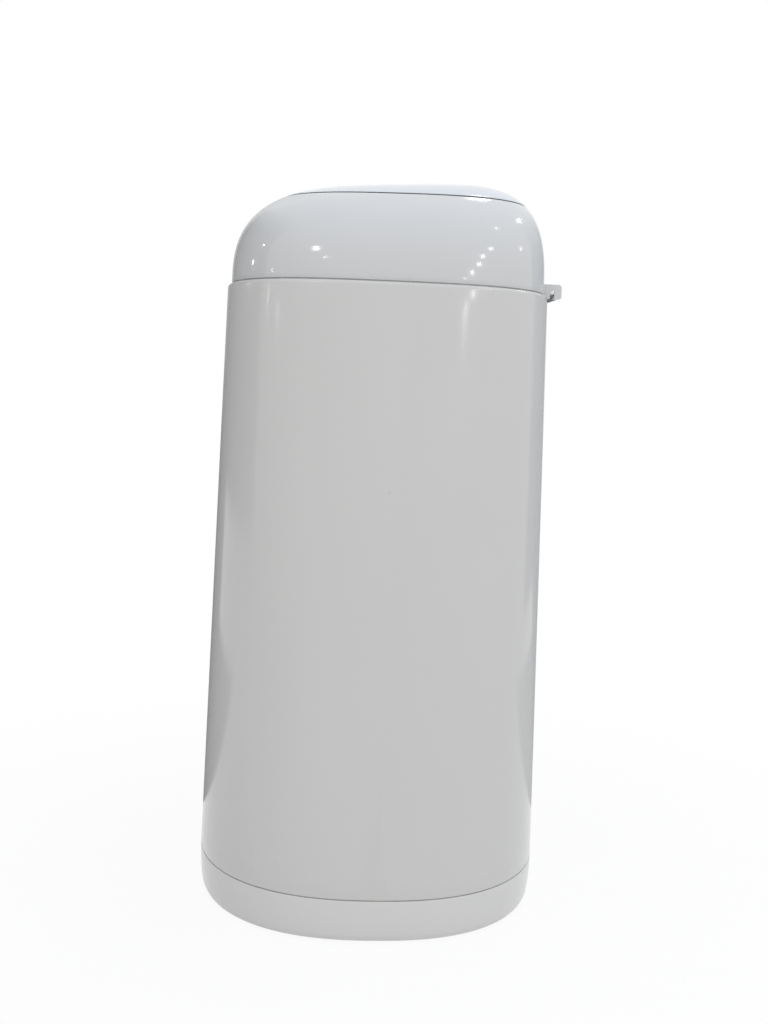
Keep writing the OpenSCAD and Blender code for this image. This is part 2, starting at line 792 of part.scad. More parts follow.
// The funnel with the deck that closes the head below and the rim that the lid seals on
module head_funnel() {
    steps = 5;
    fit = head_wall + nest_gap;
    rim_outline = dome_level(rim_z, fit);
    outer = [for (i = [0 : steps]) funnel_ring(i / steps, funnel_wall)];
    inner = [for (i = [steps : -1 : 0]) funnel_ring(i / steps, 0)];
    under_rim = rim_z - funnel_wall;
    throat = at_level(inner[steps], deck_z);
    color(grey)
        difference() {
            union() {
                skin(concat(
                    [dome_level(deck_z, fit), dome_level(deck_top, fit)],
                    [for (i = [0 : steps - 1]) outer[i]],
                    [at_level(outer[steps], under_rim), at_level(rim_outline, under_rim), rim_outline],
                    inner,
                    [throat]
                ), loop = true);
                for (c = corners)
                    translate([c.x * frame_screw.x, c.y * frame_screw.y, deck_top - bite])
                        cylinder(r = boss_r - 1.2, h = 8);
            }
            translate([-well_side - nest_gap, well_front - nest_gap, deck_top + boss_h])
                cube([2 * (well_side + nest_gap), head_b, rim_z]);
            both_sides(lug_x)
                translate([-lug_w / 2 - swing_gap, arm_y - cut, deck_z - cut])
                    cube([lug_w + 2 * swing_gap, head_b, funnel_wall + 2 * cut]);
            at_corners(funnel_screw_angle, funnel_screw_reach) {
                translate([0, 0, deck_z - cut])
                    cylinder(r = screw_r + hole_gap, h = funnel_wall + 2 * cut);
                translate([0, 0, deck_z - cut])
                    cylinder(r = screw_head_r + hole_gap, h = funnel_recess + cut);
            }
            for (c = corners)
                translate([c.x * frame_screw.x, c.y * frame_screw.y, deck_z - cut])
                    cylinder(r = screw_r, h = 9);
        }
}

module funnel_screws() {
    color(steel)
        at_corners(funnel_screw_angle, funnel_screw_reach)
            translate([0, 0, deck_z + funnel_recess])
                screw(boss_h - 3);
}

module trap_frame() {
    color(grey)
        difference() {
            translate([0, 0, frame_z])
                linear_extrude(frame_h)
                    difference() {
                        rounded(2 * frame_out, 2 * frame_out_y, 8);
                        rounded(2 * frame_in, 2 * frame_in_y, 1);
                    }
            for (side = [-1, 1]) {
                bar(side * flap_pin_y, flap_z, flap_pin_r, 2 * (frame_out - 2));
                translate([side * coil_l / 2, side * frame_in_y, flap_z - coil_r])
                    rotate([90, 0, 0])
                        cylinder(r = wire_r + 0.15, h = 8, center = true, $fn = 24);
            }
            for (c = corners)
                translate([c.x * frame_screw.x, c.y * frame_screw.y, frame_z - cut]) {
                    cylinder(r = screw_r + hole_gap, h = frame_h + 2 * cut);
                    cylinder(r = screw_head_r + hole_gap, h = screw_head_h + cut);
                }
        }
}

module frame_screws() {
    color(steel)
        for (c = corners)
            translate([c.x * frame_screw.x, c.y * frame_screw.y, frame_z + screw_head_h])
                screw(frame_h - screw_head_h + 7);
}

module flap_pins() {
    color(steel)
        for (side = [-1, 1])
            bar(side * flap_pin_y, flap_z, flap_pin_r, 2 * (frame_out - 2) - 0.4);
}

// The front flap. The rear one is the same piece, turned half round.
module flap() {
    rib_h = 2.6;
    barrel_l = flap_half - coil_bay;
    difference() {
        union() {
            both_sides(coil_bay + barrel_l / 2)
                bar(-flap_pin_y, flap_z, flap_barrel_r, barrel_l);
            translate([-flap_half, -flap_pin_y, flap_z - flap_t / 2])
                cube([2 * flap_half, flap_pin_y - plate_tip, flap_t]);
            for (x = [-0.85, -0.5, 0.5, 0.85])
                translate([x * flap_half, 0, 0])
                    along_x(1.6)
                        polygon([
                            [-flap_pin_y, flap_z], [-flap_pin_y + 1, flap_z - flap_t / 2 - rib_h * 0.8],
                            [-flap_pin_y * 0.5, flap_z - flap_t / 2 - rib_h],
                            [-plate_tip - 4, flap_z - flap_t / 2], [-plate_tip - 4, flap_z]
                        ]);
        }
        bar(-flap_pin_y, flap_z, flap_pin_r + pin_gap, 2 * flap_half + 2 * cut);
        translate([-coil_bay, -flap_pin_y - flap_barrel_r - cut, flap_z - flap_barrel_r - cut])
            cube([2 * coil_bay, 2 * flap_barrel_r + cut + 0.6, 2 * flap_barrel_r + 2 * cut]);
    }
}

module flap_front() {
    color(grey)
        flap();
}

module flap_rear() {
    color(grey)
        rotate([0, 0, 180])
            flap();
}

module lip() {
    translate([-flap_half + 1, -lip_gap / 2 - lip_w, flap_z + flap_t / 2])
        cube([2 * flap_half - 2, lip_w, lip_t]);
}

module lip_front() {
    color(dark)
        lip();
}

module lip_rear() {
    color(dark)
        rotate([0, 0, 180])
            lip();
}

// A torsion spring round the front pin: one leg in the frame's rail, the other under the flap
module trap_spring() {
    turns = coil_turns * coil_steps;
    leg_in = [[-coil_l / 2, -frame_in_y - 3, flap_z - coil_r]];
    coil = [
        for (i = [0 : turns])
            let (angle = 360 * i / coil_steps - 90)
            [
                mix(-coil_l / 2, coil_l / 2, i / turns),
                -flap_pin_y + coil_r * cos(angle),
                flap_z + coil_r * sin(angle)
            ]
    ];
    under_flap = flap_z - flap_t / 2 - wire_r - 0.05;
    leg_out = [
        for (share = [0.4, 1]) [coil_l / 2, -flap_pin_y + spring_leg * share, under_flap]
    ];
    route = concat(leg_in, coil, leg_out);
    last = len(route) - 1;
    function along(i) =
        let (step = route[min(i + 1, last)] - route[max(i - 1, 0)]) step / norm(step);
    function wire_ring(i) =
        let (
            ahead = along(i),
            across = cross(ahead, [1, 0, 0]) / norm(cross(ahead, [1, 0, 0])),
            up = cross(ahead, across)
        )
        [for (s = [0 : wire_sides - 1])
            route[i] + wire_r * (cos(360 * s / wire_sides) * across + sin(360 * s / wire_sides) * up)];
    skin([for (i = [0 : last]) wire_ring(i)]);
}

module spring_front() {
    color(steel)
        trap_spring();
}

module spring_rear() {
    color(steel)
        rotate([0, 0, 180])
            trap_spring();
}

// The lid's tongue carries its barrels and follows the head's rear shoulder
module lid_tongue() {
    wall = 4.2;
    top = lid_z + 1.2;
    barrel_l = 20;
    intersection() {
        along_x(tongue_w)
            polygon([
                [dome_rear(tongue_z) - wall, tongue_z], [head_b + cut, tongue_z],
                [head_b + cut, top], [dome_rear(top) - wall, top]
            ]);
        skin([for (z = [tongue_z - cut, mix(tongue_z, lid_z, 0.5), lid_z, top + cut]) dome_level(z, 0)]);
    }
    both_sides((tongue_w - barrel_l) / 2) {
        bar(lid_pin_y, lid_pin_z, lid_barrel_r, barrel_l);
        along_x(barrel_l)
            polygon([
                [lid_pin_y, lid_pin_z - lid_barrel_r], [dome_rear(tongue_z) - wall + bite, tongue_z],
                [dome_rear(lid_z) - wall + bite, lid_z], [lid_pin_y, lid_pin_z + lid_barrel_r]
            ]);
    }
}

module lid_shell() {
    outer = [for (share = [0, 0.08, 0.2, 0.36, 0.54, 0.74, 0.96]) crown_ring(share, 0)];
    inner = [for (share = [0, 0.1, 0.25, 0.45, 0.7, 0.96]) crown_ring(share, lid_wall)];
    color(white)
        difference() {
            union() {
                difference() {
                    skin(outer);
                    skin(inner);
                }
                lid_tongue();
                for (angle = [0 : 90 : 270])
                    rotate([0, 0, angle])
                        translate([peg_reach, 0, lid_z + lid_plate_t])
                            cylinder(
                                r = peg_r,
                                h = crown_z(angle, peg_reach) - lid_wall + bite - lid_z - lid_plate_t
                            );
            }
            bar(lid_pin_y, lid_pin_z, lid_pin_r + pin_gap, tongue_w + 2 * cut);
        }
}

module lid_plate() {
    color(grey)
        translate([0, 0, lid_z])
            linear_extrude(lid_plate_t)
                polygon(flat(dome_level(lid_z + lid_plate_t, lid_wall + nest_gap)));
}

module lid_seal() {
    function seal_outline(out) =
        flat(ring(0, mouth_w / 2 + out, mouth_d / 2 + out, 2.7, mouth_y));
    color(dark)
        translate([0, 0, rim_z + 0.1])
            linear_extrude(lid_z - rim_z - 0.1)
                difference() {
                    polygon(seal_outline(seal_reach + seal_w));
                    polygon(seal_outline(seal_reach));
                }
}

module lid_pin() {
    color(steel)
        bar(lid_pin_y, lid_pin_z, lid_pin_r, 2 * well_side - 2 * cut - 0.4);
}

base_pan();
rubber_feet();
base_screws();
body_shell();
collar();
collar_screws();
hinge_pin();
cutter_holder();
cutter_blade();
cassette_tub();
cassette_cap();
film_pack();
head_shell();
head_funnel();
funnel_screws();
trap_frame();
frame_screws();
flap_pins();
flap_front();
flap_rear();
lip_front();
lip_rear();
spring_front();
spring_rear();
lid_shell();
lid_plate();
lid_seal();
lid_pin();
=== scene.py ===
import json
import math

import bmesh
import bpy
import numpy as np
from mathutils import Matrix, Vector

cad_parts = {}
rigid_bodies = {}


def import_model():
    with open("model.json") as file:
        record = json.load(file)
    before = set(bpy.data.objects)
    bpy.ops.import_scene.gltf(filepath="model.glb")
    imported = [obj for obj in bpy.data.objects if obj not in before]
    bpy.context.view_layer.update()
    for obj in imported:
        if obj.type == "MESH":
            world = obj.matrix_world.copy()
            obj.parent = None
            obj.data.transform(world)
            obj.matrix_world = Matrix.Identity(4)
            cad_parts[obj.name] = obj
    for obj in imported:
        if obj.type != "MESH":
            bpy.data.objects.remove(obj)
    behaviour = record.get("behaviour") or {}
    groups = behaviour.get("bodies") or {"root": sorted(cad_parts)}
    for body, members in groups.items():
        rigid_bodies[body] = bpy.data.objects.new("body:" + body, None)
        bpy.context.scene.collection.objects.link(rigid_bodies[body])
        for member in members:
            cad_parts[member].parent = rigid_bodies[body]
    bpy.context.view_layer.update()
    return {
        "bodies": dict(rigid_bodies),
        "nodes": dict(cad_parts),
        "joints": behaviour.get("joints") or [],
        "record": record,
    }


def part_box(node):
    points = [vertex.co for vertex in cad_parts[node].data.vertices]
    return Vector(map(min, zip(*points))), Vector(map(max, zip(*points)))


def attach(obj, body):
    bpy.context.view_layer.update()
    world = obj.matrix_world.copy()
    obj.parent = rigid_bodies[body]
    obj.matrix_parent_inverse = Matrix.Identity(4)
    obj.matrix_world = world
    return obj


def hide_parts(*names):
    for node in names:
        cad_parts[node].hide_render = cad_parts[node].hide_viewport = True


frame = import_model()
cadNodes = frame["nodes"]
mm = 0.001


# An operator as a maths node, with the wire as its first value or its second
def operator(operation, second=False):
    def apply(self, value):
        return self.maths(operation, value, self) if second else self.maths(operation, self, value)
    return apply


# Sockets that can be added, multiplied and so on, in shaders and in geometry trees alike
class Wire:
    def __init__(self, graph, socket):
        self.graph = graph
        self.socket = socket

    def other(self, name):
        return Wire(self.graph, self.socket.node.outputs[name])

    def maths(self, operation, *values):
        return self.graph.add("ShaderNodeMath", {"operation": operation}, *values)

    __add__, __radd__ = operator("ADD"), operator("ADD", True)
    __sub__, __rsub__ = operator("SUBTRACT"), operator("SUBTRACT", True)
    __mul__, __rmul__ = operator("MULTIPLY"), operator("MULTIPLY", True)
    __truediv__, __rtruediv__ = operator("DIVIDE"), operator("DIVIDE", True)
    __pow__, __mod__ = operator("POWER"), operator("FLOORED_MODULO")
    __lt__, __gt__ = operator("LESS_THAN"), operator("GREATER_THAN")

    def __abs__(self):
        return self.maths("ABSOLUTE", self)

    def clamp(self):
        return self.maths("MAXIMUM", self.maths("MINIMUM", self, 1.0), 0.0)


class Graph:
    def __init__(self, tree):
        self.tree = tree
        tree.nodes.clear()

    def plug(self, socket, value):
        if isinstance(value, Wire):
            self.tree.links.new(value.socket, socket)
        elif value is not None:
            socket.default_value = value

    # Settings go in first, then values by position, then values by the socket's name
    def add(self, kind, settings=None, *values, out=0, named=None):
        node = self.tree.nodes.new(kind)
        for key, value in (settings or {}).items():
            if key == "stops":
                self.setStops(node.color_ramp, value)
            else:
                setattr(node, key, value)
        for i, value in enumerate(values):
            self.plug(node.inputs[i], value)
        for key, value in (named or {}).items():
            self.plug(node.inputs[key], value)
        return Wire(self, node.outputs[out])

    def setStops(self, ramp, stops):
        while len(ramp.elements) < len(stops):
            ramp.elements.new(0.5)
        for element, (place, value) in zip(ramp.elements, stops):
            element.position = place
            element.color = (value, value, value, 1)


# Materials
class Paint(Graph):
    def __init__(self, name, **constants):
        self.material = bpy.data.materials.new(name)
        self.material.use_nodes = True
        super().__init__(self.material.node_tree)
        self.place = self.add("ShaderNodeTexCoord").other("Object")
        self.shader = self.tree.nodes.new("ShaderNodeBsdfPrincipled")
        self.output = self.tree.nodes.new("ShaderNodeOutputMaterial")
        self.tree.links.new(self.shader.outputs[0], self.output.inputs[0])
        for key, value in constants.items():
            self.shader.inputs[key.replace("_", " ")].default_value = value

    def stretched(self, scale):
        return self.add("ShaderNodeMapping", None, self.place, named={"Scale": scale})

    def noise(self, scale, detail=2.0, roughness=0.5, at=None):
        return self.add("ShaderNodeTexNoise", None,
                        named={"Vector": at or self.place, "Scale": scale, "Detail": detail,
                               "Roughness": roughness})

    def cells(self, scale):
        return self.add("ShaderNodeTexVoronoi", None,
                        named={"Vector": self.place, "Scale": scale, "Randomness": 1.0})

    def blend(self, share, low, high):
        node = self.add("ShaderNodeMix", {"data_type": "RGBA"}, out=2)
        for i, value in ((0, share), (6, low), (7, high)):
            self.plug(node.socket.node.inputs[i], value)
        return node

    def colour(self, value):
        self.plug(self.shader.inputs["Base Color"], value)

    def rough(self, value):
        self.plug(self.shader.inputs["Roughness"], value)

    def bump(self, height, depth):
        wire = self.add("ShaderNodeBump", None,
                        named={"Height": height, "Distance": depth, "Strength": 1.0})
        self.plug(self.shader.inputs["Normal"], wire)


def tint(colour, factor):
    return (colour[0] * factor, colour[1] * factor, colour[2] * factor, 1.0)


# Glossy moulded plastic: a faint orange peel, slow sink waves, dusty patches and a few scuffs
def glossPlastic(name, colour, rough, peel, waves):
    paint = Paint(name, IOR=1.49, Specular_IOR_Level=0.5, Coat_Weight=0.0)
    cloud = paint.noise(7.0, 3.0)
    dust = paint.noise(160.0, 2.0, 0.6)
    scuff = paint.cells(26.0)
    speck = (1.0 - scuff / 0.035).clamp() * (paint.noise(9.0, 0.0) > 0.60)
    shade = paint.blend(cloud, tint(colour, 0.985), tint(colour, 1.015))
    paint.colour(paint.blend(speck * 0.5, shade, tint(colour, 0.45)))
    paint.rough(rough + (cloud - 0.5) * 0.10 + (dust - 0.5) * 0.05 + speck * 0.3)
    skin = paint.noise(420.0, 1.0) * 0.35 * peel + paint.noise(24.0, 1.0) * 6.0 * waves
    paint.bump(skin, 0.00001)
    return paint.material


# Satin plastic with a spark-eroded grain, for inner parts
def satinPlastic(name, colour, rough=0.42, grain=1.0):
    paint = Paint(name, IOR=1.49)
    cloud = paint.noise(12.0, 3.0)
    spark = paint.noise(1500.0, 2.0, 0.7)
    paint.colour(paint.blend(cloud, tint(colour, 0.97), tint(colour, 1.03)))
    paint.rough(rough + (cloud - 0.5) * 0.12 + (spark - 0.5) * 0.10)
    paint.bump(spark, 0.00003 * grain)
    return paint.material


# Steel with a fine grain along X, the way pins are ground and wire is drawn
def groundSteel(name, colour, rough=0.28, along=(0.04, 1.0, 1.0), blotch=0.0):
    paint = Paint(name, Metallic=1.0)
    grain = paint.noise(2600.0, 3.0, 0.7, at=paint.stretched(along))
    cloud = paint.noise(60.0, 3.0)
    shade = paint.blend(grain, tint(colour, 0.86), tint(colour, 1.06))
    paint.colour(paint.blend(cloud * blotch, shade, tint(colour, 0.62)))
    paint.rough(rough + (grain - 0.5) * 0.16 + (cloud - 0.5) * 0.10)
    paint.bump(grain, 0.000008)
    return paint.material


def softRubber(name, colour, rough=0.72):
    paint = Paint(name, IOR=1.5)
    bloom = paint.noise(55.0, 4.0)
    grain = paint.noise(2200.0, 2.0, 0.6)
    paint.colour(paint.blend(bloom, tint(colour, 0.85), tint(colour, 1.25)))
    paint.rough(rough + (bloom - 0.5) * 0.15)
    paint.bump(grain, 0.00004)
    return paint.material


def pleatedFilm(name, colour):
    paint = Paint(name, IOR=1.5)
    crease = paint.noise(240.0, 4.0, 0.65, at=paint.stretched((1.0, 1.0, 3.0)))
    paint.colour(paint.blend(crease, tint(colour, 0.82), tint(colour, 1.10)))
    paint.rough(0.30 + (crease - 0.5) * 0.35)
    paint.bump(crease, 0.0004)
    return paint.material


print("Making materials")
# The recipe, the colour and the recipe's further values, in the order that it names them
finishes = {
    "bodyWhite": (glossPlastic, (0.636, 0.626, 0.613), 0.15, 0.5, 0.8),
    "headWhite": (glossPlastic, (0.640, 0.640, 0.645), 0.11, 0.4, 0.5),
    # The lid's white is tinted blue: painted cool light from above on the top of the bin
    "lidWhite": (glossPlastic, (0.640, 0.668, 0.710), 0.11, 0.4, 0.5),
    # The pan's white is made brighter: painted light, making up for the light that the low pan
    # gets less of
    "panWhite": (glossPlastic, (0.690, 0.683, 0.668), 0.19, 0.6, 0.7),
    "innerWhite": (satinPlastic, (0.62, 0.62, 0.61)),
    "innerGrey": (satinPlastic, (0.42, 0.45, 0.48)),
    "flapGrey": (satinPlastic, (0.33, 0.36, 0.40), 0.38),
    "cutterGrey": (satinPlastic, (0.20, 0.26, 0.33), 0.36),
    "cassetteWhite": (satinPlastic, (0.66, 0.68, 0.70), 0.35, 0.6),
    "filmBlue": (pleatedFilm, (0.50, 0.66, 0.80)),
    "footRubber": (softRubber, (0.018, 0.018, 0.019)),
    "lipRubber": (softRubber, (0.06, 0.065, 0.07), 0.6),
    "zincSteel": (groundSteel, (0.58, 0.58, 0.57), 0.34, (1.0, 1.0, 1.0), 0.5),
    "pinSteel": (groundSteel, (0.66, 0.66, 0.67), 0.22),
    "springSteel": (groundSteel, (0.42, 0.42, 0.43), 0.30),
    "bladeSteel": (groundSteel, (0.70, 0.70, 0.72), 0.18),
}
finish = {name: recipe(name, *values) for name, (recipe, *values) in finishes.items()}
# The slot of each finish and the frame's nodes that wear it
wears = {
    "bodyWhite": ("body_white", "body_shell"), "headWhite": ("head_white", "head_shell"),
    "lidWhite": ("lid_white", "lid_shell"), "panWhite": ("pan_white", "base_pan"),
    "innerWhite": ("inner_white", "collar"), "cutterGrey": ("cutter_grey", "cutter_holder"),
    "innerGrey": ("inner_grey", "head_funnel", "trap_frame", "lid_plate"),
    "flapGrey": ("flap_grey", "flap_front", "flap_rear"),
    "cassetteWhite": ("cassette_white", "cassette_tub", "cassette_cap"),
    "filmBlue": ("film", "film_pack"), "footRubber": ("foot_rubber", "rubber_feet"),
    "lipRubber": ("lip_rubber", "lip_front", "lip_rear", "lid_seal"),
    "zincSteel": ("steel", "base_screws", "collar_screws", "funnel_screws", "frame_screws"),
    "pinSteel": ("pin_steel", "hinge_pin", "flap_pins", "lid_pin"),
    "springSteel": ("spring_steel", "spring_front", "spring_rear"),
    "bladeSteel": ("blade_steel", "cutter_blade"),
}
worn = {node: (name, slot) for name, (slot, *nodes) in wears.items() for node in nodes}


def dress(piece, name):
    piece.data.materials.clear()
    piece.data.materials.append(finish[name])


for name, node in cadNodes.items():
    dress(node, worn[name][0])


# Sizes of the shells in millimetres, tied to the frame where a node gives them
def corner(name, high):
    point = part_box(name)[1 if high else 0] / mm
    return [round(value, 2) for value in point]


seamZ = corner("body_shell", True)[2]
bodySizes = {
    "neckWidth": 247.0, "neckDepth": 241.0, "neckSquareness": 2.9,
    "baseWidth": corner("base_pan", True)[0] * 2, "baseDepth": corner("base_pan", True)[1] * 2,
    "baseSquareness": 2.36, "neckHeight": seamZ,
    "baseHeight": corner("body_shell", False)[2], "wall": 3.2, "rimRound": 2.6, "rimFlange": 8.0,
    "flange": 3.0, "footFlange": 19.0, "spigot": 8.0, "bossRadius": 5.2, "bossHeight": 13.0,
    "around": 288, "step": 12.0, "edge": 0.35,
}
headSizes = {
    "step": 2.8, "height": 81.0, "tilt": 0.065, "wall": 2.8, "squareness": 2.9,
    "frontLift": 2.84, "frontSpread": 3.14, "rearLift": 3.03, "rearSpread": 4.2,
    "sideLift": 2.62, "sideSpread": 2.0, "shadowGap": 0.8, "shadowDepth": 1.2,
    "lidUp": 65.8, "lidGap": 0.8, "around": 288, "bossRadius": 5.2, "bossHeight": 13.0,
    "bossUp": 4.4, "lip": 0.6, "footLip": 0.4,
}
hinge = {
    "y": 120.0, "z": seamZ + 2.8, "pin": 1.75, "length": 108.0,
    "front": 7.4, "back": 7.0, "up": 5.8, "down": 4.4, "wall": 2.0, "hook": 10.0,
    "mouth": 3.2, "gap": 0.06, "relief": 8.77, "topRound": 2.4, "frontCut": 1.4, "rearCut": 0.6,
}
lidSizes = {
    "edge": seamZ + headSizes["lidUp"], "wall": 2.6, "tongueWidth": 73.0,
    "tongueDepth": 11.5, "tongueWall": 4.2, "tongueTop": 1.2, "pinY": 101.5, "pinDown": 7.6,
    "pin": 1.5, "barrel": 3.6, "barrelLength": 20.0, "gap": 0.06, "notchWidth": 44.0,
    "notchDepth": 4.6, "mouthDepth": 136.0, "wellLip": 1.4, "wellWall": 9.0, "swing": 0.6,
    "pegRadius": 3.0, "pegReach": 40.0, "plate": 1.6, "edgeRound": 0.45,
}


# Geometry trees
class Shape(Graph):
    def __init__(self, name, sizes):
        tree = bpy.data.node_groups.new(name, "GeometryNodeTree")
        super().__init__(tree)
        tree.interface.new_socket("Geometry", in_out="OUTPUT", socket_type="NodeSocketGeometry")
        tree.interface.new_socket("Geometry", in_out="INPUT", socket_type="NodeSocketGeometry")
        for size, kind in dict(sizes, Material="Material").items():
            tree.interface.new_socket(size, in_out="INPUT", socket_type="NodeSocket" + kind)
        self.start = tree.nodes.new("NodeGroupInput")
        self.end = tree.nodes.new("NodeGroupOutput")

    def given(self, name):
        return Wire(self, self.start.outputs[name])

    # Smooth faces with sharp folds, one plain mesh and its material
    def close(self, geometry, fold=0.6):
        angle = self.add("GeometryNodeInputMeshEdgeAngle")
        smooth = self.add("GeometryNodeSetShadeSmooth", {"domain": "FACE"}, geometry)
        creased = self.add("GeometryNodeSetShadeSmooth", {"domain": "EDGE"}, smooth,
                           angle > fold, False)
        single = self.add("GeometryNodeRealizeInstances", None, creased)
        painted = self.add("GeometryNodeSetMaterial", None, single,
                           named={"Material": self.given("Material")})
        self.tree.links.new(painted.socket, self.end.inputs[0])


def link(piece):
    bpy.context.scene.collection.objects.link(piece)
    return piece


# The mesh of a piece with its modifiers run
def evaluated(piece):
    depsgraph = bpy.context.evaluated_depsgraph_get()
    return bpy.data.meshes.new_from_object(piece.evaluated_get(depsgraph), depsgraph=depsgraph)


# Runs a tree on a source mesh and keeps the result as a plain mesh
def grow(name, source, shape, material, **sizes):
    holder = link(bpy.data.objects.new(name + "Source", source))
    modifier = holder.modifiers.new("grow", "NODES")
    modifier.node_group = shape.tree
    sizes["Material"] = finish[material]
    for item in shape.tree.interface.items_tree:
        key = item.name.replace(" ", "")
        if item.in_out == "INPUT" and key in sizes:
            modifier[item.identifier] = sizes[key]
    mesh = evaluated(holder)
    bpy.data.objects.remove(holder)
    piece = link(bpy.data.objects.new(name, mesh))
    return pointOutwards(piece)


def pointOutwards(piece):
    work = bmesh.new()
    work.from_mesh(piece.data)
    bmesh.ops.remove_doubles(work, verts=work.verts, dist=1e-7)
    bmesh.ops.holes_fill(work, edges=[edge for edge in work.edges if edge.is_boundary])
    bmesh.ops.recalc_face_normals(work, faces=work.faces)
    if work.calc_volume(signed=True) < 0:
        bmesh.ops.reverse_faces(work, faces=work.faces)
    work.to_mesh(piece.data)
    work.free()
    return piece


# A mesh from points in millimetres
def meshOf(name, points, edges=(), faces=()):
    mesh = bpy.data.meshes.new(name)
    mesh.from_pydata([[value * mm for value in point] for point in points], edges, faces)
    return mesh


# Lofts a profile of insets and heights round a squircle that changes with height
def makeLoftShape():
    shape = Shape("squircleLoft", {
        "Around": "Int", "Closed": "Int", "Low Height": "Float", "High Height": "Float",
        "Low Half Width": "Float", "High Half Width": "Float", "Low Half Depth": "Float",
        "High Half Depth": "Float", "Low Squareness": "Float", "High Squareness": "Float",
        "Ripple": "Float", "Ripple Scale": "Float"})
    profile = shape.given("Geometry")
    count = shape.add("GeometryNodeAttributeDomainSize", {"component": "MESH"}, profile)
    rows = count + shape.given("Closed")
    around = shape.given("Around")
    grid = shape.add("GeometryNodeMeshGrid", None, 1.0, 1.0, around + 1, rows)
    index = shape.add("GeometryNodeInputIndex")
    column = (index / rows + 0.0001).maths("FLOOR", index / rows + 0.0001)
    row = (index - column * rows + 0.1).maths("FLOOR", index - column * rows + 0.1) % count
    place = shape.add("GeometryNodeInputPosition")
    sample = shape.add("GeometryNodeSampleIndex", {"data_type": "FLOAT_VECTOR"}, profile,
                       named={"Value": place, "Index": row})
    parts = shape.add("ShaderNodeSeparateXYZ", None, sample)
    inset, height = parts, parts.other("Z")
    share = (height - shape.given("Low Height")) / (
        shape.given("High Height") - shape.given("Low Height"))

    def between(name):
        low, high = shape.given("Low " + name), shape.given("High " + name)
        return low + (high - low) * share

    angle = (column % around) * (2 * math.pi) / around
    cosine, sine = angle.maths("COSINE", angle), angle.maths("SINE", angle)
    power = 2.0 / between("Squareness")
    wobble = shape.add("ShaderNodeTexNoise", {"noise_dimensions": "3D"}, named={
        "Vector": shape.add("ShaderNodeCombineXYZ", None, cosine, sine, height * 12.0),
        "Scale": shape.given("Ripple Scale"), "Detail": 2.0})
    reach = (wobble - 0.5) * shape.given("Ripple") - inset

    def along(half, turned):
        return (between(half) + reach) * turned.maths("SIGN", turned) * abs(turned) ** power

    point = shape.add("ShaderNodeCombineXYZ", None, along("Half Width", cosine),
                      along("Half Depth", sine), height)
    moved = shape.add("GeometryNodeSetPosition", None, grid, named={"Position": point})
    merged = shape.add("GeometryNodeMergeByDistance", None, moved, named={"Distance": 1e-6})
    shape.close(merged)
    return shape


def arc(centre, radius, start, end, steps):
    angles = [math.radians(start + (end - start) * i / steps) for i in range(steps + 1)]
    return [(centre[0] + radius * math.cos(a), centre[1] + radius * math.sin(a)) for a in angles]


# How far the steps of a quarter round stand in from its two sides
def quarter(radius, steps, first=0):
    angles = [math.radians(90 * i / steps) for i in range(first, steps + 1)]
    return [(radius * (1 - math.cos(a)), radius * (1 - math.sin(a))) for a in angles]


def circle(x, y, radius, segments):
    return [(x + radius * math.cos(math.tau * i / segments),
             y + radius * math.sin(math.tau * i / segments)) for i in range(segments)]


def evenly(low, high, step):
    count = max(1, round(abs(high - low) / step))
    return [low + (high - low) * i / count for i in range(count + 1)]


# Plain closed solids for cutting and joining, in millimetres
def solid(name, points, faces):
    return pointOutwards(link(bpy.data.objects.new(name, meshOf(name, points, (), faces))))


# A closed prism between two outlines with as many points
def prism(name, first, second):
    count = len(first)
    sides = [(i, (i + 1) % count, count + (i + 1) % count, count + i) for i in range(count)]
    caps = [tuple(range(count)), tuple(range(count, 2 * count))]
    return solid(name, first + second, sides + caps)


# A prism along X from an outline in Y and Z
def prismX(name, outline, length, middle=0.0):
    return prism(name, *[[(middle + side * length / 2, y, z) for y, z in outline]
                         for side in (-1, 1)])


def rodX(name, y, z, radius, length, middle=0.0, segments=64):
    return prismX(name, circle(y, z, radius, segments), length, middle)


# An upright rod at each place
def rodsZ(name, places, radius, low, high, segments=48):
    return [prism(name, *[[(a, b, z) for a, b in circle(x, y, radius, segments)]
                          for z in (low, high)]) for x, y in places]


def combine(piece, operation, *tools):
    for tool in tools:
        modifier = piece.modifiers.new("shape", "BOOLEAN")
        modifier.operation = operation
        modifier.solver = "MANIFOLD"
        modifier.object = tool
        old, mesh = piece.data, evaluated(piece)
        piece.modifiers.clear()
        piece.data = mesh
        bpy.data.meshes.remove(old)
        bpy.data.objects.remove(tool)
    return piece


# Merges and smooths a mesh with its folds sharp, and rounds edges that fold more than bevelFold
def settle(piece, fold=32, round=0.0, bevelFold=50):
    work = bmesh.new()
    work.from_mesh(piece.data)
    bmesh.ops.remove_doubles(work, verts=work.verts, dist=2e-6)
    bmesh.ops.dissolve_degenerate(work, edges=work.edges, dist=1e-6)
    bmesh.ops.dissolve_limit(work, angle_limit=math.radians(0.05), verts=work.verts,
                             edges=work.edges)
    if round:
        folds = [e for e in work.edges if len(e.link_faces) == 2
                 and e.calc_face_angle(0) > math.radians(bevelFold)]
        bmesh.ops.bevel(work, geom=folds, offset=round * mm, segments=2, profile=0.5,
                        affect="EDGES", clamp_overlap=True)
        bmesh.ops.remove_doubles(work, verts=work.verts, dist=1e-6)
    for face in work.faces:
        face.smooth = True
    for edge in work.edges:
        edge.smooth = edge.calc_face_angle(0) < math.radians(fold)
    work.to_mesh(piece.data)
    work.free()
    return piece


# Gives a piece the finish of the node that it stands for
def finishPiece(piece, body, *replaced):
    material, slot = worn[replaced[0]]
    dress(piece, material)
    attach(piece, body)
    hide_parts(*replaced)
    return piece


loftShape = makeLoftShape()


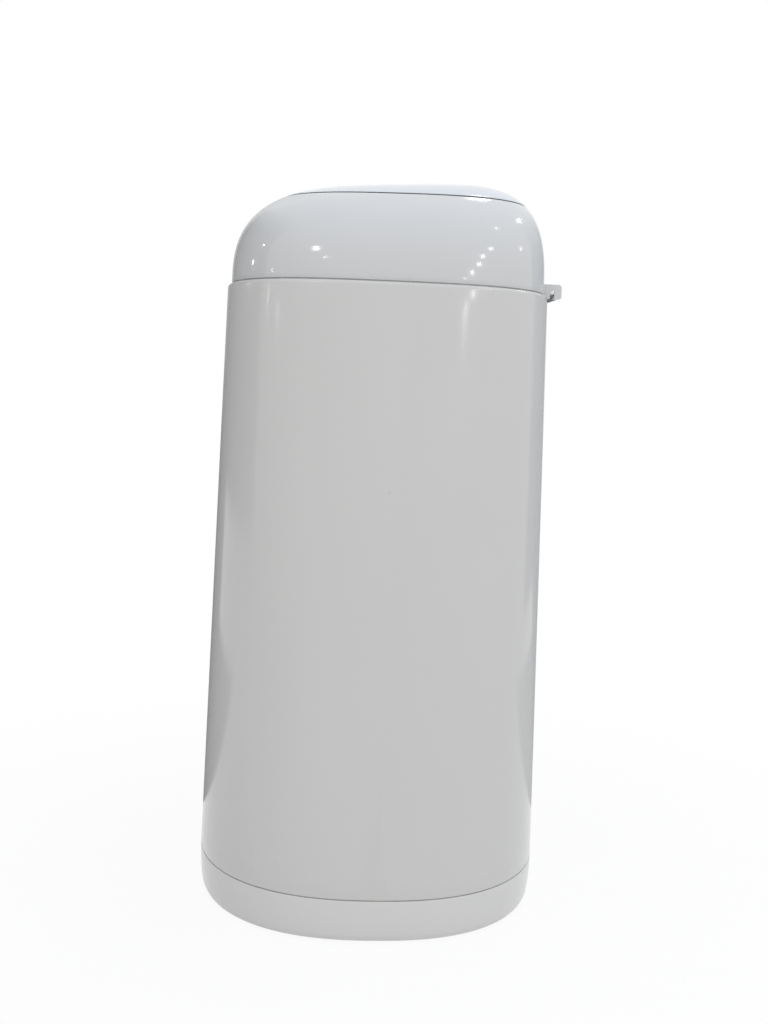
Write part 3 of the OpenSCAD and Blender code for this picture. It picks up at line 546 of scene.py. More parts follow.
# Each end is a height, half a width, half a depth and a squareness
def loft(name, points, material, low, high, closed=True, around=288, ripple=(0.0, 1.0)):
    sizes = dict(Around=around, Closed=int(closed), Ripple=ripple[0], RippleScale=ripple[1])
    for word, end in (("Low", low), ("High", high)):
        for key, value in zip(("Height", "HalfWidth", "HalfDepth"), end):
            sizes[word + key] = value * mm
        sizes[word + "Squareness"] = end[3]
    profile = meshOf("profile", [(inset, 0, z) for inset, z in points])
    return grow(name, profile, loftShape, material, **sizes)


# A round piece is the same loft with one radius and squareness 2; its profile gives radii
def lathe(name, points, material, closed=True, around=160, ripple=(0.0, 1.0)):
    radius = max(r for r, z in points)
    end = (radius, radius, 2.0)
    return loft(name, [(radius - r, z) for r, z in points], material, (0, *end), (1, *end),
                closed, around, ripple)


cornerSigns = ((1, 1), (-1, 1), (-1, -1), (1, -1))


def atCorners(angle, distance):
    angle = math.radians(angle)
    return [(sx * math.cos(angle) * distance, sy * math.sin(angle) * distance)
            for sx, sy in cornerSigns]


def screwPlaces(node, headRadius=3.2):
    x, y = corner(node, True)[:2]
    return [(sx * (x - headRadius), sy * (y - headRadius)) for sx, sy in cornerSigns]


screwHoles = {"pilot": 1.6, "clear": 1.9, "head": 3.5}  # radii


print("Making the body shell")


def bodyProfile(s):
    low, top, rim = s["baseHeight"], s["neckHeight"], s["rimRound"]
    spigotTop, seat = low + s["spigot"], top - s["flange"]
    over, under = spigotTop + s["flange"], seat - s["flange"]
    wall, edge = s["wall"], s["edge"]
    outer = arc((edge, low + edge), edge, 270, 180, 3)
    outer += [(0, z) for z in evenly(low + edge, top - rim, s["step"])[1:-1]]
    outer += arc((rim, top - rim), rim, 180, 90, 8)
    inner = [(wall - edge, top), (wall, top - edge), (wall, seat), (s["rimFlange"], seat),
             (s["rimFlange"], under), (wall, under)]
    inner += [(wall, z) for z in evenly(under, over, s["step"])[1:-1]]
    inner += [(wall, over), (s["footFlange"], over), (s["footFlange"], spigotTop),
              (wall, spigotTop), (wall, low + edge), (wall - edge, low)]
    return outer + inner


def makeBody(s):
    body = loft("bodyShell", bodyProfile(s), "bodyWhite",
                (s["baseHeight"], s["baseWidth"] / 2, s["baseDepth"] / 2, s["baseSquareness"]),
                (s["neckHeight"], s["neckWidth"] / 2, s["neckDepth"] / 2, s["neckSquareness"]),
                True, s["around"])
    seat = s["neckHeight"] - s["flange"]
    low = s["baseHeight"] + s["spigot"]
    for node, bottom in (("collar_screws", seat - s["bossHeight"]), ("base_screws", low)):
        top = bottom + s["bossHeight"]
        places = screwPlaces(node)
        combine(body, "UNION", *rodsZ("boss", places, s["bossRadius"], bottom, top))
        combine(body, "DIFFERENCE",
                *rodsZ("hole", places, screwHoles["pilot"], bottom - 1, top + 4))
    combine(body, "DIFFERENCE",
            rodX("relief", hinge["y"], hinge["z"], hinge["relief"], hinge["length"] + 2))
    return finishPiece(settle(body), "base", "body_shell")


makeBody(bodySizes)


print("Making the base pan")
panSizes = {
    "lift": 1.5, "floor": 3.5, "round": 30.0, "inset": 4.0, "groove": 0.8, "wall": 2.6,
    "toe": 2.2, "edge": 0.35, "power": 2.2, "tower": 6.4, "seat": 10.0, "footReach": 104.0,
    "footRadius": 11.0, "footHeight": 3.0,
}


def panProfile(p, s):
    top, edge, toe, power = s["baseHeight"], p["edge"], p["toe"], p["power"]
    inside = p["lift"] + p["floor"]

    def side(z):
        return p["inset"] * (1 - (1 - max(0.0, 1 - z / p["round"]) ** power) ** (1 / power))

    spigot = s["wall"] + 0.4
    points = arc((side(p["lift"]) + toe, p["lift"] + toe), toe, 270, 180, 6)
    points += [(side(z), z) for z in evenly(p["lift"] + toe, p["round"], 1.6)[1:]]
    points += arc((edge, top - p["groove"] - edge), edge, 180, 90, 3)
    half = s["wall"] / 2
    points += [(half, top - p["groove"]), (half, top), (spigot, top),
               (spigot + 0.6, top + s["spigot"] - edge), (spigot + 0.6 + edge, top + s["spigot"]),
               (spigot + p["wall"], top + s["spigot"]),
               (spigot + p["wall"] + p["inset"] * 0.85, inside + 3),
               (spigot + p["wall"] + p["inset"] + 0.8, inside + 0.8),
               (spigot + p["wall"] + p["inset"] + 3.4, inside)]
    return points


def makePan(p, s):
    end = (s["baseWidth"] / 2, s["baseDepth"] / 2, s["baseSquareness"])
    pan = loft("basePan", panProfile(p, s), "panWhite", (0, *end), (s["baseHeight"], *end),
               False, s["around"])
    inside = p["lift"] + p["floor"]
    top = s["baseHeight"] + s["spigot"]
    places = screwPlaces("base_screws")
    combine(pan, "UNION", *rodsZ("tower", places, p["tower"], inside - 0.6, top))
    combine(pan, "DIFFERENCE",
            *rodsZ("seat", places, screwHoles["head"], -1, s["baseHeight"] - p["seat"]),
            *rodsZ("hole", places, screwHoles["clear"], -1, top + 1),
            *rodsZ("foot", atCorners(45, p["footReach"]), p["footRadius"], -1, p["footHeight"]))
    return finishPiece(settle(pan), "base", "base_pan")


makePan(panSizes, bodySizes)


# The head is one dome: k runs from 0 at the seam to 1 at the crown
headA = bodySizes["neckWidth"] / 2 - headSizes["step"]
headB = bodySizes["neckDepth"] / 2 - headSizes["step"]
turns = np.arange(headSizes["around"]) * math.tau / headSizes["around"]


def spread(k, lift, wide):
    return np.maximum(0.0, 1 - np.asarray(k, float) ** lift) ** (1 / wide)


def dome(angle, k, inset, h=headSizes):
    across, ahead = np.cos(angle), np.sin(angle)
    across, ahead = np.where(abs(across) < 1e-9, 0, across), np.where(abs(ahead) < 1e-9, 0, ahead)
    a = (headA - inset) * spread(k, h["sideLift"], h["sideSpread"])
    front = (headB - inset) * spread(k, h["frontLift"], h["frontSpread"])
    rear = (headB - inset) * spread(k, h["rearLift"], h["rearSpread"])
    power = 2 / h["squareness"]
    x = a * np.sign(across) * abs(across) ** power
    y = np.where(ahead < 0, front, rear) * np.sign(ahead) * abs(ahead) ** power
    z = seamZ + (h["height"] - inset) * k + h["tilt"] * y * k
    return np.stack([x, y, z], axis=-1)


# The k at which the dome passes a level, by halving
def domeK(angle, z, inset):
    low, high = np.zeros_like(angle), np.ones_like(angle)
    for halving in range(40):
        middle = (low + high) / 2
        above = dome(angle, middle, inset)[..., 2] > z
        low, high = np.where(above, low, middle), np.where(above, middle, high)
    return (low + high) / 2


def domeRing(z, inset):
    ring = dome(turns, domeK(turns, z, inset), inset)
    ring[:, 2] = z
    return ring


def domeRear(z, x=0.0, h=headSizes):
    back = np.array([math.pi / 2])
    k = domeK(back, z, 0)
    rear = dome(back, k, 0)[0, 1]
    a = headA * spread(k, h["sideLift"], h["sideSpread"])[0]
    return float(rear * (1 - (abs(x) / a) ** h["squareness"]) ** (1 / h["squareness"]))


# A ring of the lid's crown, from its edge at 0 to the middle at 1
def crownRing(share, inset, edge, h=headSizes):
    out = spread(domeK(turns, edge, inset), h["sideLift"], h["sideSpread"]) * (1 - share)
    return dome(turns, spread(out, h["sideSpread"], h["sideLift"]), inset)


# Joins rings of points into a closed skin, as a loop or with its two ends filled
def skin(name, rings, loop=False):
    size = len(rings[0])
    points = [point for ring in rings for point in ring]
    steps = len(rings) if loop else len(rings) - 1
    faces = [(j * size + i, j * size + (i + 1) % size,
              (j + 1) % len(rings) * size + (i + 1) % size, (j + 1) % len(rings) * size + i)
             for j in range(steps) for i in range(size)]
    return solid(name, points, faces)


print("Making the head shell")
foot = seamZ + headSizes["shadowGap"]
headTop = lidSizes["edge"] - headSizes["lidGap"]
pinZ = lidSizes["edge"] - lidSizes["pinDown"]
tongueZ = lidSizes["edge"] - lidSizes["tongueDepth"]
wellRadius = math.hypot(domeRear(tongueZ) - lidSizes["pinY"], tongueZ - pinZ) + lidSizes["swing"]
wellLength = lidSizes["tongueWidth"] + 1
wellSide = wellLength / 2 + lidSizes["wellWall"]
wellFront = lidSizes["pinY"] - wellRadius - headSizes["wall"]


def hoodOutline(g):
    r, front, rear = g["topRound"], g["frontCut"], g["rearCut"]
    points = [(-g["front"], g["up"]), (-g["front"], front - g["down"]),
              (front - g["front"], -g["down"]), (g["back"] - rear, -g["down"]),
              (g["back"] - 0.3 * rear, 0.3 * rear - g["down"]), (g["back"], rear - g["down"])]
    points += arc((g["back"] - r, g["up"] - r), r, 0, 90, 8)
    return [(g["y"] + y, g["z"] + z) for y, z in points]


def box(name, low, high):
    outline = [(low[1], low[2]), (high[1], low[2]), (high[1], high[2]), (low[1], high[2])]
    return prismX(name, outline, high[0] - low[0], (high[0] + low[0]) / 2)


def makeHead(h, g, l):
    top, lip, low = headTop, h["lip"], h["footLip"]
    outer = [domeRing(foot, low), domeRing(foot + low * 0.3, low * 0.3)]
    levels = [foot + low + (top - lip - foot - low) * (1 - (1 - i / 30) ** 1.5)
              for i in range(31)]
    outer += [domeRing(z, 0) for z in levels]
    outer += [domeRing(top - drop, inset) for inset, drop in quarter(lip, 3, 1)]
    inner = [domeRing(z, h["wall"]) for z in levels[::-1][:-1]]
    inner = [domeRing(top, h["wall"])] + inner + [
        domeRing(seamZ, h["wall"]),
        domeRing(seamZ, h["shadowDepth"]), domeRing(foot, h["shadowDepth"])]
    head = skin("headShell", outer + inner, True)
    under = pinZ - wellRadius - h["wall"]
    block = [(wellFront, top), (wellFront, under)]
    block += [(domeRear(z, wellSide) - 0.6, z) for z in evenly(under, top, 4)]
    bosses = screwPlaces("funnel_screws")
    deck = seamZ + h["bossUp"]
    bossTop = deck + h["bossHeight"]
    combine(head, "UNION", prismX("hood", hoodOutline(g), g["length"]),
            prismX("wellBlock", block, 2 * wellSide),
            *rodsZ("boss", bosses, h["bossRadius"], deck, bossTop))
    back = headB + 1
    wellCut = [(l["pinY"] - wellRadius, pinZ), (l["pinY"], tongueZ - l["wellLip"]),
               (back, tongueZ - l["wellLip"]), (back, l["edge"] + 1),
               (l["pinY"] - wellRadius, l["edge"] + 1)]
    notchRadius = (l["notchWidth"] ** 2 / 4 + l["notchDepth"] ** 2) / (2 * l["notchDepth"])
    notch = circle(0, top - l["notchDepth"] + notchRadius, notchRadius, 256)
    notchCut = prism("notch", *[[(x, y, z) for x, z in notch]
                                for y in (-l["mouthDepth"] / 2, -back)])
    half = g["length"] / 2
    inHook = half - g["hook"]
    combine(head, "DIFFERENCE",
            rodX("bore", g["y"], g["z"], g["pin"] + g["gap"], g["length"] + 2),
            box("mouth", (-half - 1, g["y"] - g["mouth"] / 2, g["z"] - g["down"] - 1),
                (half + 1, g["y"] + g["mouth"] / 2, g["z"])),
            box("cavity", (-inHook, g["y"] - g["front"] - 5, g["z"] - g["down"] - 1),
                (inHook, g["y"] + g["back"] - g["wall"], g["z"] + g["up"] - g["wall"])),
            rodX("well", l["pinY"], pinZ, wellRadius, wellLength, segments=128),
            prismX("wellSpace", wellCut, wellLength),
            rodX("pinBore", l["pinY"], pinZ, l["pin"], 2 * wellSide - 2), notchCut,
            *rodsZ("hole", bosses, screwHoles["pilot"], deck - 1, bossTop - 1))
    return finishPiece(settle(head), "head", "head_shell")


makeHead(headSizes, hinge, lidSizes)

print("Making the lid")


def crownSolid(name, inset, edge, round):
    rings = [domeRing(edge, inset)]
    if round:
        rings = [domeRing(edge + rise, inset + out) for rise, out in quarter(round, 3)]
    shares = [0.02 + 0.955 * (i / 44) ** 1.15 for i in range(45)]
    return skin(name, rings + [crownRing(share, inset, edge) for share in shares])


def makeLid(l):
    edge = l["edge"]
    lid = crownSolid("lidShell", 0.0, edge, l["edgeRound"])
    inside = crownSolid("inside", l["wall"], edge, 0)
    skirt = skin("skirt", [domeRing(edge - 1, l["wall"]), domeRing(edge + 0.02, l["wall"])])
    combine(lid, "DIFFERENCE", inside, skirt)
    top = edge + l["tongueTop"]
    slab = skin("tongue", [domeRing(z, 0) for z in evenly(tongueZ - 1, top + 1, 0.8)])
    outline = [(domeRear(tongueZ) - l["tongueWall"], tongueZ), (headB + 1, tongueZ),
               (headB + 1, top), (domeRear(top) - l["tongueWall"], top)]
    combine(slab, "INTERSECT", prismX("cut", outline, l["tongueWidth"]))
    middle = (l["tongueWidth"] - l["barrelLength"]) / 2
    web = [(l["pinY"], pinZ - l["barrel"]), (domeRear(tongueZ) - l["tongueWall"] + 0.6, tongueZ),
           (domeRear(edge) - l["tongueWall"] + 0.6, edge), (l["pinY"], pinZ + l["barrel"])]
    parts = []
    for side in (-1, 1):
        parts.append(rodX("barrel", l["pinY"], pinZ, l["barrel"], l["barrelLength"],
                          side * middle))
        parts.append(prismX("web", web, l["barrelLength"], side * middle))
    for x, y in ((1, 0), (-1, 0), (0, 1), (0, -1)):
        angle = np.array([math.atan2(y, x)])
        out = l["pegReach"] / (headA if x else headB)
        way = "side" if x else "rear" if y > 0 else "front"
        k = float(spread(out, headSizes[way + "Spread"], headSizes[way + "Lift"]))
        level = dome(angle, k, 0)[0, 2] - l["wall"] + 0.6
        parts += rodsZ("peg", [(x * l["pegReach"], y * l["pegReach"])], l["pegRadius"],
                       edge + l["plate"], level)
    combine(lid, "UNION", slab, *parts)
    combine(lid, "DIFFERENCE",
            rodX("bore", l["pinY"], pinZ, l["pin"] + l["gap"], l["tongueWidth"] + 2))
    return finishPiece(settle(lid), "lid", "lid_shell")


makeLid(lidSizes)


print("Making the funnel")
funnelSizes = {
    "mouthWidth": 112.0, "mouthDepth": 136.0, "mouthY": 6.0, "throatWidth": 82.0,
    "throatDepth": 96.0, "throatSquareness": 5.0, "mouthSquareness": 2.7, "flare": 1.3,
    "wall": 2.4, "lip": 1.2, "deckUp": 2.0, "rimDrop": 0.8, "fit": 3.2, "steps": 28,
    "bossRadius": 4.0, "bossHeight": 8.0, "lugX": 34.0, "lugWidth": 10.2, "lugReach": 17.0,
    "sunk": 0.6, "wellUp": 13.0, "wellRoom": 0.4,
}


def squircle(halfWidth, halfDepth, squareness, z, y=0.0):
    across, ahead = np.cos(turns), np.sin(turns)
    power = 2 / squareness
    return np.stack([halfWidth * np.sign(across) * abs(across) ** power,
                     halfDepth * np.sign(ahead) * abs(ahead) ** power + y,
                     np.full_like(turns, z)], axis=-1)


def makeFunnel(f, g):
    deck = seamZ + f["deckUp"]
    deckTop, rim = deck + f["wall"], headTop - f["rimDrop"]

    def ring(share, wall, z=None):
        flare = share ** f["flare"]
        width = f["throatWidth"] + (f["mouthWidth"] - f["throatWidth"]) * flare
        depth = f["throatDepth"] + (f["mouthDepth"] - f["throatDepth"]) * flare
        square = f["throatSquareness"] + (f["mouthSquareness"] - f["throatSquareness"]) * share
        level = deckTop + (rim - deckTop) * share if z is None else z
        return squircle(width / 2 + wall, depth / 2 + wall, square, level, f["mouthY"] * share)

    steps, lip = f["steps"], f["lip"]
    shares = [i / steps for i in range(steps)]
    outline = domeRing(rim, f["fit"])
    under = outline.copy()
    under[:, 2] = rim - f["wall"]
    bend = [ring(1, inset, rim - drop) for inset, drop in quarter(lip, 6)]
    inside = [ring(share, 0) for share in shares if rim - (rim - deckTop) * (1 - share)
              < rim - lip - 0.6]
    rings = [domeRing(deck, f["fit"]), domeRing(deckTop, f["fit"])]
    rings += [ring(share, f["wall"]) for share in shares] + [ring(1, f["wall"], rim - f["wall"])]
    rings += [under, outline] + bend[::-1] + inside[::-1] + [ring(0, 0.4, deck + 0.3),
                                                             ring(0, 0.9, deck)]
    funnel = skin("headFunnel", rings, True)
    frame = screwPlaces("frame_screws")
    screws = screwPlaces("funnel_screws")
    bossFoot, room = deckTop - f["sunk"], f["wellRoom"]
    combine(funnel, "UNION",
            *rodsZ("boss", frame, f["bossRadius"], bossFoot, bossFoot + f["bossHeight"]))
    cuts = [box("well", (-wellSide - room, wellFront - room, deckTop + f["wellUp"]),
                (wellSide + room, headB, deckTop + 200))]
    for side in (-1, 1):
        x = side * f["lugX"]
        cuts.append(box("lug", (x - f["lugWidth"] / 2, g["y"] - f["lugReach"], deck - 1),
                        (x + f["lugWidth"] / 2, g["y"] + 20, deckTop + 1)))
    cuts += rodsZ("hole", screws, screwHoles["clear"], deck - 1, deckTop + 1)
    cuts += rodsZ("seat", screws, screwHoles["head"], deck - 1, deck + 1)
    cuts += rodsZ("pilot", frame, screwHoles["pilot"], deck - 1, deck + 8)
    combine(funnel, "DIFFERENCE", *cuts)
    return finishPiece(settle(funnel), "head", "head_funnel")


makeFunnel(funnelSizes, hinge)

print("Making the springs and the screws")


# Sweeps a circle along a curve
def sweep(shape, line, radius, sides):
    outline = shape.add("GeometryNodeCurvePrimitiveCircle", {"mode": "RADIUS"},
                        named={"Resolution": sides, "Radius": radius})
    return shape.add("GeometryNodeCurveToMesh", None, line, outline, named={"Fill Caps": True})


# A wire of one radius along a line of points
def makeWireShape():
    shape = Shape("wire", {"Radius": "Float", "Sides": "Int"})
    line = shape.add("GeometryNodeMeshToCurve", None, shape.given("Geometry"))
    shape.close(sweep(shape, line, shape.given("Radius"), shape.given("Sides")))
    return shape


# One screw with a helical thread, set at each point of the source
def makeScrewShape():
    shape = Shape("screwSet", {"Screw": "Object", "Radius": "Float", "Length": "Float",
                               "Turns": "Float", "Thread": "Float", "Flip": "Float"})
    helix = shape.add("GeometryNodeCurveSpiral", None, named={
        "Resolution": 20, "Rotations": shape.given("Turns"),
        "Start Radius": shape.given("Radius"), "End Radius": shape.given("Radius"),
        "Height": shape.given("Length")})
    thread = sweep(shape, helix, shape.given("Thread"), 6)
    raised = shape.add("GeometryNodeTransform", None, thread, named={
        "Translation": shape.add("ShaderNodeCombineXYZ", None, 0.0, 0.0,
                                 shape.given("Length") * 0.12)})
    stock = shape.add("GeometryNodeObjectInfo", None, shape.given("Screw")).other("Geometry")
    whole = shape.add("GeometryNodeJoinGeometry", None, stock)
    shape.tree.links.new(raised.socket, whole.socket.node.inputs[0])
    points = shape.add("GeometryNodeMeshToPoints", None, shape.given("Geometry"))
    turn = shape.add("ShaderNodeCombineXYZ", None, shape.given("Flip"), 0.0, 0.0)
    copies = shape.add("GeometryNodeInstanceOnPoints", None, points,
                       named={"Instance": whole, "Rotation": turn})
    shape.close(copies)
    return shape


wireShape, screwShape = makeWireShape(), makeScrewShape()
springSizes = {"radius": 2.55, "wire": 0.45, "turns": 5, "length": 12.0, "steps": 40,
               "sides": 12, "leg": 15.0, "legStart": 0.4, "frameReach": 3.0, "flap": 2.4}
trap = {"pinY": 49.5, "z": round((corner("trap_frame", True)[2]
                                  + corner("trap_frame", False)[2]) / 2, 2), "railY": 53.9}


def makeSpring(name, node, turned, body, s, t):
    under = t["z"] - s["flap"] / 2 - s["wire"] - 0.05
    steps = s["turns"] * s["steps"]
    points = [(-s["length"] / 2, -t["railY"] - s["frameReach"], t["z"] - s["radius"])]
    for i in range(steps + 1):
        angle = math.tau * i / s["steps"] - math.pi / 2
        points.append((s["length"] * (i / steps - 0.5), -t["pinY"] + s["radius"] * math.cos(angle),
                       t["z"] + s["radius"] * math.sin(angle)))
    points += [(s["length"] / 2, -t["pinY"] + s["leg"] * share, under)
               for share in (s["legStart"], 1.0)]
    route = meshOf("route", [(turned * x, turned * y, z) for x, y, z in points],
                   [(i, i + 1) for i in range(len(points) - 1)])
    spring = grow(name, route, wireShape, "springSteel", Radius=(s["wire"] - 0.01) * mm,
                  Sides=s["sides"])
    return finishPiece(spring, body, node)


makeSpring("springFront", "spring_front", 1, "head", springSizes, trap)
makeSpring("springRear", "spring_rear", -1, "head", springSizes, trap)

screwSizes = {
    "headRadius": 3.2, "headHeight": 2.2, "shank": 1.25, "thread": 0.32, "pitch": 1.25,
    "recess": 1.1, "slot": 0.75, "reach": 1.9,
    "sets": {
        "base_screws": (1, "base"), "collar_screws": (-1, "base"),
        "funnel_screws": (1, "head"), "frame_screws": (1, "head"),
    },
}


def makeScrews(s):
    for node, (way, body) in s["sets"].items():
        bottom, top = corner(node, False)[2], corner(node, True)[2]
        high = s["headHeight"]
        length = top - bottom - high
        seat = bottom + high if way > 0 else top - high
        profile = [(0.05, -high), (s["headRadius"] * 0.5, -high)]
        profile += arc((s["headRadius"] - 1, 1 - high), 1, -90, 0, 6)
        profile += [(s["headRadius"], -0.15), (s["headRadius"] - 0.15, 0), (s["shank"] + 0.3, 0),
                    (s["shank"], 0.4), (s["shank"], length - 2.2), (0.3, length - 0.1),
                    (0.05, length)]
        stock = lathe("stock", profile, "zincSteel", False, 36)
        reach, slot = s["reach"], s["slot"] / 2
        combine(stock, "DIFFERENCE", *[
            box("cross", (-x, -y, -high - 1), (x, y, s["recess"] - high))
            for x, y in ((reach, slot), (slot, reach))])
        places = meshOf("places", [(x, y, seat) for x, y in screwPlaces(node)])
        name = node.split("_")[0] + "Screws"
        threaded = length * 0.72
        screws = grow(name, places, screwShape, "zincSteel", Screw=stock,
                      Radius=(s["shank"] + 0.02) * mm, Length=threaded * mm,
                      Turns=threaded / s["pitch"], Thread=s["thread"] * mm,
                      Flip=0.0 if way > 0 else math.pi)
        bpy.data.objects.remove(stock)
        finishPiece(settle(screws, fold=40), body, node)


makeScrews(screwSizes)

print("Making the film")
filmSizes = {"bore": 72.2, "pleats": 34, "fold": 2.6, "crumple": 1.4, "scale": 3.0, "around": 240}


# A sleeve of film folded into a stack, crumpled a little all round
def makeFilm(f):
    low, high = corner("film_pack", False), corner("film_pack", True)
    outside, inside = high[0] - f["crumple"] / 2, f["bore"] + f["crumple"] / 2
    step = (high[2] - low[2]) / f["pleats"]
    profile = [(inside, low[2] + 0.3)]
    for i in range(f["pleats"]):
        for share, out in ((0.12, f["fold"]), (0.36, 0.35), (0.5, 0.0), (0.64, 0.35)):
            profile.append((outside - out, low[2] + (i + share) * step))
    profile += [(outside - f["fold"], high[2] - 0.3), (inside, high[2] - 0.3)]
    profile += [(inside, low[2] + (high[2] - low[2]) * share) for share in (0.75, 0.5, 0.25)]
    film = lathe("filmPack", profile, "filmBlue", True, f["around"],
                 (f["crumple"] * mm, f["scale"]))
    return finishPiece(settle(film, fold=70), "base", "film_pack")


makeFilm(filmSizes)

print("Smoothing the small parts")
copies = {
    "rubber_feet": ("base", 0.5), "collar": ("base", 0.3), "hinge_pin": ("base", 0.25),
    "cutter_holder": ("base", 0.3), "cutter_blade": ("base", 0.0), "cassette_tub": ("base", 0.35),
    "cassette_cap": ("base", 0.3), "trap_frame": ("head", 0.4), "flap_pins": ("head", 0.2),
    "lid_pin": ("head", 0.2), "flap_front": ("trap_front", 0.3), "lip_front": ("trap_front", 0.3),
    "flap_rear": ("trap_rear", 0.3), "lip_rear": ("trap_rear", 0.3), "lid_plate": ("lid", 0.3),
    "lid_seal": ("lid", 0.3),
}


# A merged copy of a plain part, with small rounds on its folds
def smoothCopy(node, body, round):
    mesh = cadNodes[node].data.copy()
    mesh.transform(cadNodes[node].matrix_world)
    if "custom_normal" in mesh.attributes:
        mesh.attributes.remove(mesh.attributes["custom_normal"])
    first, second = (node.split("_") + ["ring"])[:2]
    piece = link(bpy.data.objects.new(first + second.capitalize(), mesh))
    return finishPiece(settle(piece, fold=30, round=round), body, node)


for node, settings in copies.items():
    smoothCopy(node, *settings)


print("Setting up the studio")
studio = {
    "camera": (0.947924, -0.049915, 0.394128), "turn": (83.9794, -2.2222, 86.9112),
    "lens": 42.344, "floor": (0.86, 0.86, 0.86), "fill": 0.60, "nearWhite": 0.92, "farWhite": 1.0,
    "fade": (0.20, 0.62),
}
lamps = {
    "top": dict(place=(0.25, 0.25, 2.3), aim=(0, 0, 0.45), size=(1.8, 1.8), power=15.0,
                colour=(0.74, 0.87, 1.0)),
    "front": dict(place=(2.2, 0.9, 1.1), aim=(0, 0, 0.28), size=(1.6, 1.8), power=3.5,
                  colour=(1.0, 0.985, 0.97)),
}
cards = {
    "left": dict(start=(0.25, -2.75), end=(-8.0, -2.75), top=5.5, shade=(0.38, 0.38, 0.38),
                 shades=True),
    "leftBack": dict(start=(-0.16, -0.08), end=(-1.0, -1.0), top=0.75, shade=(0.30, 0.30, 0.29)),
    "right": dict(start=(-0.5, 1.3), end=(-3.0, 1.3), top=1.7, shade=(0.62, 0.67, 0.72),
                  shades=True),
    "rightBack": dict(start=(-0.16, 0.08), end=(-1.0, 1.1), top=0.65, shade=(0.52, 0.53, 0.54)),
    "leftFloor": dict(start=(-0.145, -0.02), end=(-1.3, -0.02), top=0.003,
                      shade=(0.28, 0.28, 0.27), lean=(0.0, -0.8), faded=False),
    "rightFloor": dict(start=(-0.145, 0.02), end=(-1.3, 0.02), top=0.003,
                       shade=(0.60, 0.60, 0.60), lean=(0.0, 0.8), faded=False),
}
# Small lamps under the ceiling, each mirrored once in the gloss: place, size, power
ceilingLamps = [
    (-0.29, -2.40, 1.62, 0.09, 0.9), (-0.80, -2.50, 0.95, 0.09, 0.8),
    (1.97, -1.24, 1.87, 0.17, 4.5), (2.35, -0.98, 1.42, 0.10, 0.5),
    (1.39, 1.87, 1.86, 0.10, 1.3), (1.82, 1.70, 1.56, 0.10, 1.4), (2.03, 1.65, 1.24, 0.10, 1.3),
    (2.24, 1.47, 0.95, 0.09, 0.9), (2.39, 1.29, 0.74, 0.09, 0.5), (-1.05, 1.75, 2.16, 0.15, 2.6),
    (0.32, 1.64, 2.56, 0.09, 0.5), (-0.18, 2.45, 1.53, 0.08, 0.6), (-1.52, 0.63, 2.49, 0.22, 2.6),
    (1.28, -2.39, 0.70, 0.07, 0.3), (0.73, -2.58, 0.81, 0.08, 0.3),
]


def makeCamera(s):
    camera = link(bpy.data.objects.new("camera", bpy.data.cameras.new("camera")))
    camera.location = s["camera"]
    camera.rotation_euler = [math.radians(value) for value in s["turn"]]
    camera.data.lens = s["lens"]
    camera.data.sensor_fit = "AUTO"
    camera.data.sensor_width = 36.0
    camera.data.clip_start = 0.01
    bpy.context.scene.camera = camera


# 1 where the camera, a gloss or a clear part looks at the background, and 0 for plain light
def lookedAt(graph):
    path = graph.add("ShaderNodeLightPath")
    mirror = path.maths("MAXIMUM", path.other("Is Glossy Ray"), path.other("Is Transmission Ray"))
    return path.maths("MAXIMUM", path, mirror)


def makeWorld(s):
    world = bpy.data.worlds.new("studio")
    bpy.context.scene.world = world
    world.use_nodes = True
    graph = Graph(world.node_tree)
    strength = lookedAt(graph) * (1.0 - s["fill"]) + s["fill"]
    light = graph.add("ShaderNodeBackground", None, (1.0, 1.0, 1.0, 1.0), strength)
    output = graph.tree.nodes.new("ShaderNodeOutputWorld")
    graph.tree.links.new(light.socket, output.inputs["Surface"])


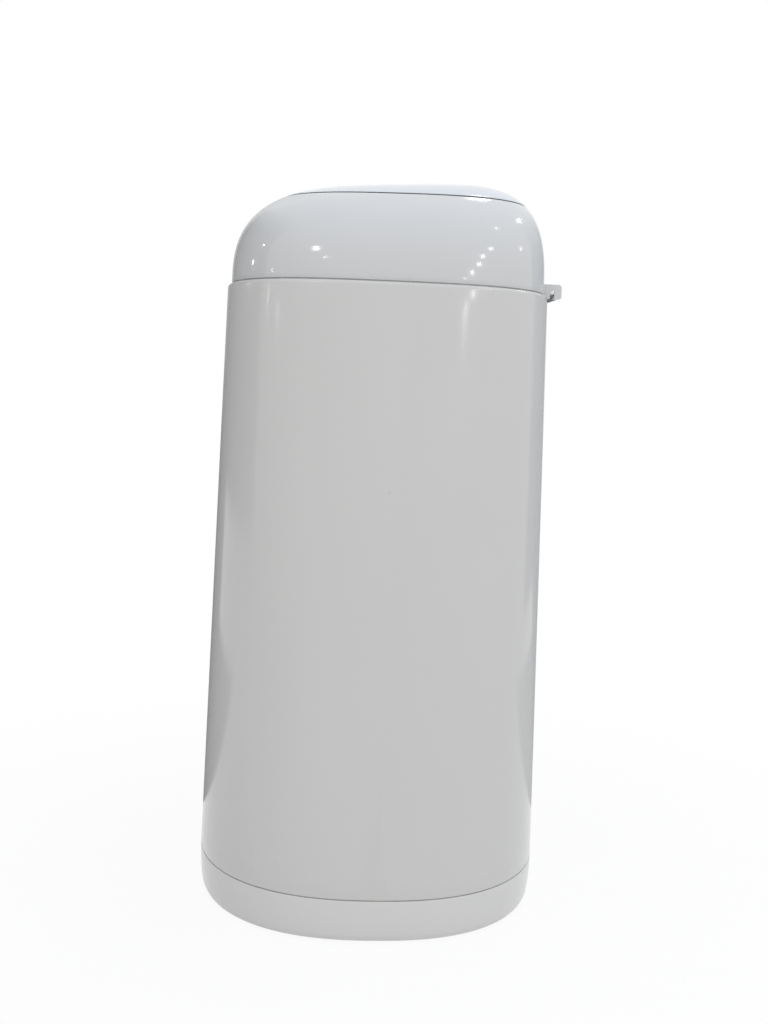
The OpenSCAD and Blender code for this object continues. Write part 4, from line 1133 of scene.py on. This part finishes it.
# Pale paper that turns white away from the bin, and keeps the bin's shadow
def makeFloor(s):
    paint = Paint("floorPaper", Roughness=0.9, Specular_IOR_Level=0.1)
    fibre = paint.noise(300.0, 3.0)
    paint.colour(paint.blend(fibre, tint(s["floor"], 0.99), tint(s["floor"], 1.01)))
    reach = paint.add("ShaderNodeVectorMath", {"operation": "LENGTH"}, paint.place, out=1)
    near, far = s["fade"]
    share = ((reach - near) / (far - near)).clamp()
    white = (share * (s["farWhite"] - s["nearWhite"]) + s["nearWhite"]) * lookedAt(paint)
    glow = paint.add("ShaderNodeEmission", None, (1.0, 1.0, 1.0, 1.0), 1.0)
    mixed = paint.add("ShaderNodeMixShader", None, white, Wire(paint, paint.shader.outputs[0]),
                      glow)
    paint.tree.links.new(mixed.socket, paint.output.inputs[0])
    floor = solid("floor", [(-4000, -4000, 0), (4000, -4000, 0), (4000, 4000, 0),
                            (-4000, 4000, 0)], [(0, 1, 2, 3)])
    floor.data.materials.append(paint.material)


# Grey cards beside the bin, which its gloss meets, and the plain light too where they shade it
def makeCard(name, start, end, top, shade, lean=(0.0, 0.0), faded=True, shades=False):
    paint = Paint(name + "Felt", Roughness=1.0, Specular_IOR_Level=0.0)
    felt = paint.noise(9.0, 2.0)
    paint.colour(paint.blend(felt, tint(shade, 0.95), tint(shade, 1.05)))
    if faded:
        height = paint.add("ShaderNodeSeparateXYZ", None, paint.place).other("Z")
        paint.plug(paint.shader.inputs["Alpha"], ((top - height) / (top * 0.55)).clamp())
    feet = [(x / mm, y / mm, 1.0) for x, y in (end, start)]
    heads = [((x + lean[0]) / mm, (y + lean[1]) / mm, top / mm) for x, y in (start, end)]
    card = solid(name + "Card", feet + heads, [(0, 1, 2, 3)])
    card.data.materials.append(paint.material)
    card.visible_camera = False
    card.visible_diffuse = card.visible_shadow = shades


def makeLamp(name, place, aim, size, power, colour=(1.0, 1.0, 1.0), mirrored=False):
    lamp = link(bpy.data.objects.new(name, bpy.data.lights.new(name, "AREA")))
    lamp.data.shape = "RECTANGLE"
    lamp.data.size, lamp.data.size_y = size
    lamp.data.energy = power
    lamp.data.color = colour
    lamp.visible_glossy, lamp.visible_camera = mirrored, False
    lamp.location = place
    lamp.rotation_euler = (Vector(aim) - Vector(place)).to_track_quat("-Z", "Y").to_euler()


makeCamera(studio)
makeWorld(studio)
makeFloor(studio)
for name, settings in cards.items():
    makeCard(name, **settings)
for name, settings in lamps.items():
    makeLamp(name, **settings)
for i, (x, y, z, size, power) in enumerate(ceilingLamps):
    makeLamp(f"ceiling{i + 1}", (x, y, z), (0, 0, 0.45), (size, size), power, mirrored=True)
bpy.context.scene.view_settings.view_transform = "Standard"
